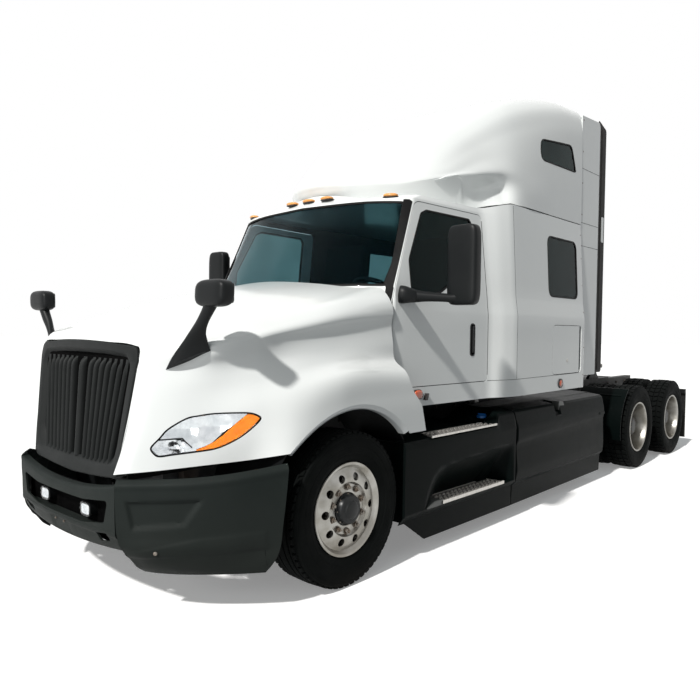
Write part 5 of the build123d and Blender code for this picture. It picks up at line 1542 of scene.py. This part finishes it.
roof_piece = tidy(joined("roof_piece", [roof_shell, roof_back]), 30)
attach(roof_piece, "root")
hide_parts("roof_fairing")


def sleeper_windows():
    return joined("windows", [pane(sleeper_pane, side_patch, 0.005, tinted_glass, DOOR_SPAN),
                              seal_round(sleeper_pane, 0.015, side_patch, 0.018, DOOR_SPAN),
                              pane(roof_pane, roof_grid, 0.005, tinted_glass, ROOF_SPAN, 1),
                              seal_round(roof_pane, 0.013, roof_grid, 0.016, ROOF_SPAN, 1)])


sleeper_window_set = two_sided("sleeper_window_set", sleeper_windows, 30)
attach(sleeper_window_set, "root")
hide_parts("sleeper_windows")

# ---- side fairings --------------------------------------------------------------------------
# Big covers of grained black plastic over the batteries, the filters and the tanks: thin moulded
# walls folded over into a deck under the cab, hollowed for the lower step, tucked in at the foot.
fairing_plastic = finish("fairing_plastic", (0.0018, 0.0034, 0.0032), (0.0028, 0.0048, 0.0045), 2.5,
                         (0.3, 0.42), grain=0.0004, grain_size=420, dust=(0.28, (0.003, 0.0045, 0.004)),
                         specular=0.025)
cap_blue = finish("cap_blue", (0.01, 0.11, 0.36), (0.014, 0.13, 0.4), 6.0, (0.3, 0.4), grain=0.0003)
latch_plastic = finish("latch_plastic", (0.04, 0.044, 0.042), (0.055, 0.059, 0.057), 6.0, (0.4, 0.5),
                       grain=0.0004)
# section of the covers: across and up, with how finely each run is divided
STEP_LINE = [(1.15, 0.112, 5), (1.155, 0.295, 2), (1.196, 0.335, 2), (1.203, 0.353, 1), (1.203, 0.359, 14),
             (1.203, 0.64, 5), (1.204, 0.72, 5), (1.205, 0.822, 2), (1.2, 0.855, 2), (1.186, 0.867, 8),
             (0.98, 0.867, 8), (0.72, 0.867, 0)]
RAISED_LINE = [(1.15, 0.112), (1.155, 0.295), (1.196, 0.335), (1.203, 0.353), (1.203, 0.359), (1.203, 0.64),
               (1.204, 0.72), (1.205, 0.815), (1.172, 0.935), (1.15, 0.955), (0.98, 0.978), (0.72, 0.986)]
TANK_LINE = [(1.148, 0.112, 5), (1.153, 0.292, 2), (1.19, 0.33, 4), (1.2, 0.42, 6), (1.19, 0.65, 3),
             (1.204, 0.7, 4), (1.205, 0.8, 6), (1.168, 0.938, 3), (1.146, 0.957, 6), (0.98, 0.978, 5),
             (0.72, 0.986, 0)]
STEP_FROM, STEP_TO = 0.535, 2.15
TANK_FROM, TANK_TO = 2.195, 4.27
COVER_WALL = 0.006
# side view of the upper edge of the hollow over the lower step: back, up
HOLLOW_EDGE = [(0.78, 0.36), (0.83, 0.47), (0.863, 0.53), (0.9, 0.578), (0.996, 0.628), (1.187, 0.648),
               (1.51, 0.662), (1.865, 0.676), (2.16, 0.69)]
HOLLOW_DEEP = 0.195
HOLLOW_FLOOR = 0.358
CAP_AT = (1.0, 1.905)
RECESS_REACH = (0.085, 0.15)
LATCH_POCKET = (3.0, 3.11)


def eased(value, low, high):
    """0 below low, 1 above high, and a soft ramp between."""
    return ramp((value - low) / (high - low))


def step_place(across, up, rise, y):
    """Where a place of the step cover's section lies at y, with its rise, hollow and recess."""
    if rise and up > 0.5:
        lift = eased(y, 1.815 - 0.45 * (1.205 - across), 1.9 + 0.45 * (1.205 - across))
        across += (rise[0] - across) * lift
        up += (rise[1] - up) * lift
    edge = np.interp(y, *zip(*HOLLOW_EDGE))
    if HOLLOW_FLOOR < up < edge and across > 1.1 and y > HOLLOW_EDGE[0][0]:
        share = (edge - up) / (edge - HOLLOW_FLOOR)
        across -= HOLLOW_DEEP * share ** 0.85 * eased(y, 0.76, 1.2) * (1 - eased(y, 1.955, 2.125))
    if across < 1.1:
        off = math.hypot((across - CAP_AT[0]) / RECESS_REACH[0], (y - CAP_AT[1]) / RECESS_REACH[1])
        up -= 0.035 * (1 - eased(off, 0.75, 1.0))
    if across > 1.1 and up < 0.3:
        up = max(up, 0.285 - max(y - 0.593, 0) * 0.66)
    return across, up


def tank_place(across, up, y):
    """The same for the tank cover, which narrows slightly to the back and has a latch pocket."""
    share = (y - TANK_FROM) / (TANK_TO - TANK_FROM)
    if 0.62 < up < 0.75:
        up += 0.055 * share
    if across > 1.0:
        across -= 0.028 * share
    if 1.0 < across < 1.19 and up > 0.85 and LATCH_POCKET[0] < y < LATCH_POCKET[1]:
        up -= 0.07
    return across, up


def cover(name, line, first, last, columns, place, front, back):
    """A thin moulded wall: a section at each place along, turned in at the front and the back.

    Front and back are places along with how far out the wall may still reach there.
    """
    runs = divided([corner[:2] for corner in line], [corner[2] for corner in line])
    stations = front + [(first + (last - first) * k / columns, math.inf) for k in range(columns + 1)] + back
    grid = np.zeros((len(runs), len(stations), 3))
    for j, (y, reach) in enumerate(stations):
        for i, (across, up) in enumerate(runs):
            new_across, new_up = place(i, across, up, y)
            grid[i, j] = at(min(new_across, reach), y, new_up)
    return shell(name, grid, 0, COVER_WALL, fairing_plastic, -1)


def loose(piece):
    """A piece drawn round the front axle, brought to the origin to be turned or copied."""
    piece.data.transform(Matrix.Translation((0, -FRONT_AXLE_Y, 0)))
    return piece


raised_places = divided(RAISED_LINE, [corner[2] for corner in STEP_LINE])
CAP_SECTION = [(0.0, 0.0), (0.0, 0.044), (0.018, 0.044), (0.024, 0.038), (0.024, 0.0)]
CAP_Z = 0.905
TOE = [(0.785, 0.35), (1.02, 0.35), (1.02, 0.386), (0.93, 0.388)]
CATCH = [(3.1, 0.885), (3.23, 0.885), (3.23, 0.925), (3.2, 0.965), (3.11, 0.972)]


def side_cover():
    step = cover("step_cover", STEP_LINE, STEP_FROM + 0.012, STEP_TO, 118,
                 lambda i, across, up, y: step_place(across, up, raised_places[i], y),
                 [(0.612, 0.8), (0.61, 1.0), (0.604, 1.15), (0.548, 1.18), (STEP_FROM, 1.194)],
                 [(STEP_TO + 0.012, 1.196), (STEP_TO + 0.016, 1.15), (STEP_TO + 0.016, 0.95)])
    cap = spun("cap", CAP_SECTION, 32, cap_blue)
    cap.data.transform(Matrix.Rotation(math.radians(-90), 4, "Y"))
    grip = loose(prism("grip", rectangle(-0.036, 0.036, -0.006, 0.006), "top", 0.0, 0.036, cap_blue))
    filler = joined("filler", [cap, grip])
    filler.data.transform(Matrix.Translation(at(*CAP_AT, CAP_Z)))
    toe = prism("toe", rounded(TOE, 0.008), "side", 1.09, 1.2045, latch_plastic)
    tank = cover("tank_cover", TANK_LINE, TANK_FROM, TANK_TO - 0.03, 130,
                 lambda i, across, up, y: tank_place(across, up, y),
                 [(TANK_FROM - 0.016, 0.95), (TANK_FROM - 0.016, 1.15), (TANK_FROM - 0.01, 1.196)],
                 [(TANK_TO - 0.016, 1.168), (TANK_TO - 0.004, 1.15), (TANK_TO, 1.1), (TANK_TO, 0.85)])
    catch = prism("catch", rounded(CATCH, 0.01), "side", 1.085, 1.158, latch_plastic)
    return joined("side_cover", [step, filler, toe, tank, catch])


side_cover_pair = two_sided("side_cover_pair", side_cover, 24)
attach(side_cover_pair, "root")
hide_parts("side_fairings")

# ---- steps ----------------------------------------------------------------------------------
# Pressed aluminium treads bolted into the covers: a bent lip along the outside and rows of teeth
# punched up between slots to bite on a boot. Bare metal, worn bright on the edges. The slots are a
# dark plate under the teeth: painted shade for the open slots and the shadows between the teeth.
tread_alloy = finish("tread_alloy", (0.62, 0.6, 0.56), (0.48, 0.465, 0.44), 12.0, (0.3, 0.45), metal=0.75,
                     grain=0.0006, grain_size=90, stretch=(1, 6, 1))
# dark plate under the teeth: painted shade standing for the open slots and the shadows between the teeth
painted_slot_shade = finish("painted_slot_shade", (0.11, 0.105, 0.1), (0.17, 0.16, 0.15), 30.0, (0.5, 0.6), metal=0.3,
                    specular=0.2)
# each step: front and back of its lip, slant of its ends, inner and outer edge, low and high
LOWER_TREAD = (1.0, 1.95, 0.09, 1.012, 1.2045, 0.352, 0.38)
UPPER_TREAD = (0.862, 1.812, 0.1, 1.03, 1.2048, 0.868, 0.886)
TOOTH_PITCH = 0.0555
TOOTH_HALF = 0.021
TOOTH_TALL = 0.016
TOOTH_ROWS = (0.036, 0.08, 0.124)     # distance of each row from the outer edge


def tooth():
    """One punched tooth: an upright half-round blade facing outwards."""
    angles = [math.pi * k / 12 for k in range(13)]
    outline = [(TOOTH_HALF * math.cos(angle), TOOTH_TALL * math.sin(angle)) for angle in angles]
    return loose(prism("tooth", outline, "side", -0.0025, 0.0025, tread_alloy))


def tread(first, last, slant, inner, outer, low, high):
    """A pan painted dark as the shade in the slots, with a raised edge, a bent lip along the outside and
    staggered rows of teeth.
    """
    plan = [(outer - 0.004, first), (outer - 0.004, last), (inner, last), (inner, first + slant)]
    deck = high - TOOTH_TALL
    pan = prism("pan", plan, "top", deck - 0.002, deck, painted_slot_shade)
    section = [(outer - 0.013, high), (outer, high - 0.002), (outer, low), (outer - 0.005, low),
               (outer - 0.006, high - 0.006), (outer - 0.013, high - 0.006)]
    lip = prism("lip", rounded(section, 0.0015, 3), "front", first, last, tread_alloy)
    edge = prism("edge", plan, "top", deck - 0.0015, deck + 0.006, tread_alloy)
    opened(edge, grown(plan, -0.012), "top", deck - 0.01, deck + 0.01)
    parts = [pan, lip, edge]
    for k, inset in enumerate(TOOTH_ROWS):
        start = first + slant * inset / (outer - inner) + 0.046 + (k % 2) * TOOTH_PITCH / 2
        count = int((last - 0.03 - start) / TOOTH_PITCH) + 1
        parts.append(repeated("teeth", tooth(), count, tread_alloy, (0, TOOTH_PITCH, 0),
                              place=at(outer - inset, start, deck - 0.0005)))
    return parts


def both_treads():
    return joined("treads", tread(*LOWER_TREAD) + tread(*UPPER_TREAD))


tread_set = two_sided("tread_set", both_treads, 30)
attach(tread_set, "root")
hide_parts("step_treads")

# ---- tanks, boxes and the deck --------------------------------------------------------------
# Spun aluminium fuel tanks strapped to the rails, the steel battery box on the left, the exhaust
# cleaner's box on the right and the checkered plate the driver stands on behind the cab.
tank_alloy = finish("tank_alloy", (0.4, 0.4, 0.39), (0.3, 0.3, 0.29), 5.0, (0.3, 0.5), metal=0.8,
                    grain=0.0006, grain_size=60, stretch=(1, 8, 1), dust=(0.6, (0.05, 0.048, 0.045)))
box_steel = finish("box_steel", (0.01, 0.01, 0.01), (0.02, 0.019, 0.018), 5.0, (0.45, 0.6), grain=0.0008,
                   grain_size=70, dust=(0.7, ROAD_DUST), specular=0.25)
deck_alloy = finish("deck_alloy", (0.42, 0.42, 0.41), (0.26, 0.26, 0.25), 9.0, (0.35, 0.55), metal=0.7,
                    grain=0.003, grain_size=36)
flap_rubber = finish("flap_rubber", (0.01, 0.01, 0.01), (0.022, 0.021, 0.02), 6.0, (0.6, 0.8),
                     grain=0.001, grain_size=50, dust=(0.6, (0.045, 0.043, 0.04)), specular=0.2)
clad(tank_alloy, "fuel_tanks")
clad(box_steel, "battery_box", "exhaust_box")
clad(deck_alloy, "deck_plate")
clad(fairing_plastic, "rear_fenders")
clad(flap_rubber, "mud_flaps")

# ---- extenders ------------------------------------------------------------------------------
# Tall white moulded panels carry the cab's sides back over the gap to the trailer, each screwed on
# along its front and edged with a wide black rubber flap with a fold in it.
EXTENDER_OUT = 1.129
EXTENDER_EDGE = [(3.59, 1.2), (4.066, 1.2), (4.066, 3.93), (3.59, 3.9)]
FLAP_EDGE = [(4.07, 1.216), (4.268, 1.216), (4.268, 3.899), (4.07, 3.959)]
BRACE = [(1.0, 3.592), (1.098, 3.592), (1.098, 3.948)]
SCREW_PITCH = 0.325


def extender():
    """The white panel with its black inner wall, screws, joints and the braces that hold it."""
    panel = prism("panel", rounded(EXTENDER_EDGE, [0.004, 0.02, 0.05, 0.004]), "side", EXTENDER_OUT - 0.016,
                  EXTENDER_OUT - 0.0015, white_paint)
    inner = prism("inner", grown(EXTENDER_EDGE, -0.03), "side", EXTENDER_OUT - 0.032, EXTENDER_OUT - 0.016,
                  black_plastic)
    screw = loose(prism("screw", disc((0, 0), 0.008, 14), "side", 0, 0.0028, nut_steel))
    screws = repeated("screws", screw, 9, nut_steel, (0, 0, SCREW_PITCH),
                      place=at(EXTENDER_OUT - 0.003, 3.625, 1.26))
    joints = [prism("joint", rectangle(3.594, 4.062, z, z + 0.004), "side", EXTENDER_OUT - 0.004,
                    EXTENDER_OUT - 0.0009, seal_rubber) for z in (2.56, 2.8, 3.36)]
    braces = [prism("brace", BRACE, "top", z, z + 0.018, frame_paint) for z in (1.5, 2.6, 3.6)]
    return joined("extender", [panel, inner, screws] + joints + braces)


def extender_flap():
    """The rubber flap behind the panel, its two folds and the white latch on it."""
    flap = prism("flap", rounded(FLAP_EDGE, [0.003, 0.04, 0.04, 0.003]), "side", 1.106, 1.116, flap_rubber)
    latch = prism("latch", rounded(rectangle(4.165, 4.225, 2.655, 2.93), 0.012), "side", 1.112, 1.1245,
                  white_paint)
    folds = [prism("fold", rectangle(y, y + 0.02, 1.24, 3.88), "side", 1.098, 1.1235, flap_rubber)
             for y in (4.076, 4.15)]
    return joined("edging", [flap, latch] + folds)


extender_pair = two_sided("extender_pair", extender, 30)
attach(extender_pair, "root")
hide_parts("side_extenders")
extender_flaps = two_sided("extender_flaps", extender_flap, 30)
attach(extender_flaps, "root")
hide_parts("extender_edges")

# ---- marker and tail lamps ------------------------------------------------------------------
# Five amber lamps over the windshield, a side marker low at each door and on each sleeper side, and
# red lamps at the back: ribbed plastic lenses sonically welded to black bases.
amber_lens = finish("amber_lens", (0.9, 0.4, 0.09), (0.82, 0.31, 0.055), 30.0, (0.1, 0.18), coat=0.6,
                    grain=0.0012, grain_size=110)
red_lens = finish("red_lens", (0.5, 0.012, 0.01), (0.38, 0.008, 0.008), 30.0, (0.1, 0.18), coat=0.6,
                  grain=0.0012, grain_size=110)
lamp_base = finish("lamp_base", (0.012, 0.01, 0.01), (0.022, 0.017, 0.016), 8.0, (0.4, 0.5), grain=0.0004,
                   specular=0.3)
side_amber = finish("side_amber", (0.66, 0.1, 0.018), (0.5, 0.065, 0.012), 30.0, (0.12, 0.2), coat=0.3,
                    grain=0.0012, grain_size=110)
ROOF_LAMPS = [(0.01, 0.752, 2.716), (0.211, 0.76, 2.716), (-0.195, 0.76, 2.716), (0.8, 0.845, 2.68),
              (-0.8, 0.845, 2.68)]
pieces = []
for x, y, z in ROOF_LAMPS:
    turn = Matrix.Rotation(math.copysign(0.5, x) if abs(x) > 0.5 else 0, 4, "Z")
    for part in (pillow("lens", Vector((0, -0.01, 0.001)), (0.058, 0.04, 0.0175), (2.6, 2.2), amber_lens),
                 pillow("base", Vector((0, 0.0, -0.012)), (0.062, 0.043, 0.0065), (3.0, 3.5), lamp_base)):
        part.data.transform(Matrix.Translation(at(x, y, z)) @ turn)
        pieces.append(part)
SIDE_LENS = [(0.0, 0.0), (0.0, 0.034), (0.01, 0.033), (0.016, 0.023), (0.0175, 0.0)]
SIDE_BEZEL = [(-0.004, 0.0), (-0.004, 0.047), (0.01, 0.046), (0.0125, 0.041), (0.0105, 0.034), (0.0105, 0.0)]
WEDGE = [(0.935, 1.131), (0.965, 1.131), (0.985, 1.182), (0.955, 1.182)]
for sign in (-1, 1):
    lens = spun("lens", SIDE_LENS, 40, side_amber)
    bezel = spun("bezel", SIDE_BEZEL, 40, lamp_base)
    outwards = Matrix.Diagonal((sign, 1, 1, 1))
    for part in (lens, bezel):
        part.data.transform(Matrix.Translation(at(sign * 1.2045, 3.018, 1.158)) @ outwards)
    door_lens = pillow("lens", at(sign * 1.072, 0.862, 1.178), (0.017, 0.05, 0.034), (3.0, 2.8), side_amber)
    door_base = pillow("base", at(sign * 1.066, 0.862, 1.178), (0.012, 0.055, 0.038), (3.5, 3.5), lamp_base)
    wedge = prism("wedge", rounded(WEDGE, 0.006), "side", sign * 1.05, sign * 1.0885, lamp_base)
    pieces += [lens, bezel, door_lens, door_base, wedge]
marker_lamp_set = tidy(joined("marker_lamp_set", pieces), 35)
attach(marker_lamp_set, "root")
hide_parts("marker_lamps")

TAIL_RING = [(0.0, 0.0), (0.0, 0.054), (0.01, 0.054), (0.012, 0.047), (0.006, 0.046), (0.006, 0.0)]
TAIL_LENS = [(0.004, 0.0), (0.004, 0.0455), (0.016, 0.044), (0.024, 0.034), (0.027, 0.0)]
tail_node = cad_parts["tail_lamps"]
tail_front_y = min((tail_node.matrix_world @ vertex.co).y for vertex in tail_node.data.vertices)
facing_back = Matrix.Rotation(math.pi / 2, 4, "Z")
pieces = []
for x in (-0.3, -0.15, 0.15, 0.3):
    for part in (spun("ring", TAIL_RING, 40, lamp_base), spun("lens", TAIL_LENS, 40, red_lens)):
        part.data.transform(Matrix.Translation((x, tail_front_y, 0.88)) @ facing_back)
        pieces.append(part)
tail_lamp_set = tidy(joined("tail_lamp_set", pieces), 35)
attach(tail_lamp_set, "root")
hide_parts("tail_lamps")

# ---- fifth wheel and the inside of the cab --------------------------------------------------
# A cast iron coupling plate smeared with black grease; inside, woven seats and bunk, a moulded
# dashboard and a leather rimmed steering wheel, all dark behind the tinted glass.
greased_iron = finish("greased_iron", (0.02, 0.018, 0.016), (0.06, 0.052, 0.044), 7.0, (0.18, 0.5),
                      metal=0.5, grain=0.0008, grain_size=40)
seat_cloth = finish("seat_cloth", (0.0035, 0.004, 0.004), (0.006, 0.0065, 0.007), 12.0, (0.8, 0.95),
                    grain=0.002, grain_size=240, specular=0.03)
bunk_cloth = finish("bunk_cloth", (0.006, 0.007, 0.007), (0.009, 0.01, 0.011), 8.0, (0.8, 0.95), grain=0.002,
                    grain_size=200, specular=0.03)
dash_plastic = finish("dash_plastic", (0.002, 0.0024, 0.0024), (0.004, 0.0044, 0.0044), 6.0, (0.6, 0.75),
                      grain=0.0006, grain_size=380, specular=0.03)
rim_leather = finish("rim_leather", (0.006, 0.006, 0.006), (0.01, 0.01, 0.01), 10.0, (0.4, 0.55),
                     grain=0.0006, grain_size=300, specular=0.2)
clad(greased_iron, "fifth_wheel_plate")
clad(seat_cloth, "seats")
clad(bunk_cloth, "bunk")
clad(dash_plastic, "dashboard")
clad(rim_leather, "steering_wheel")
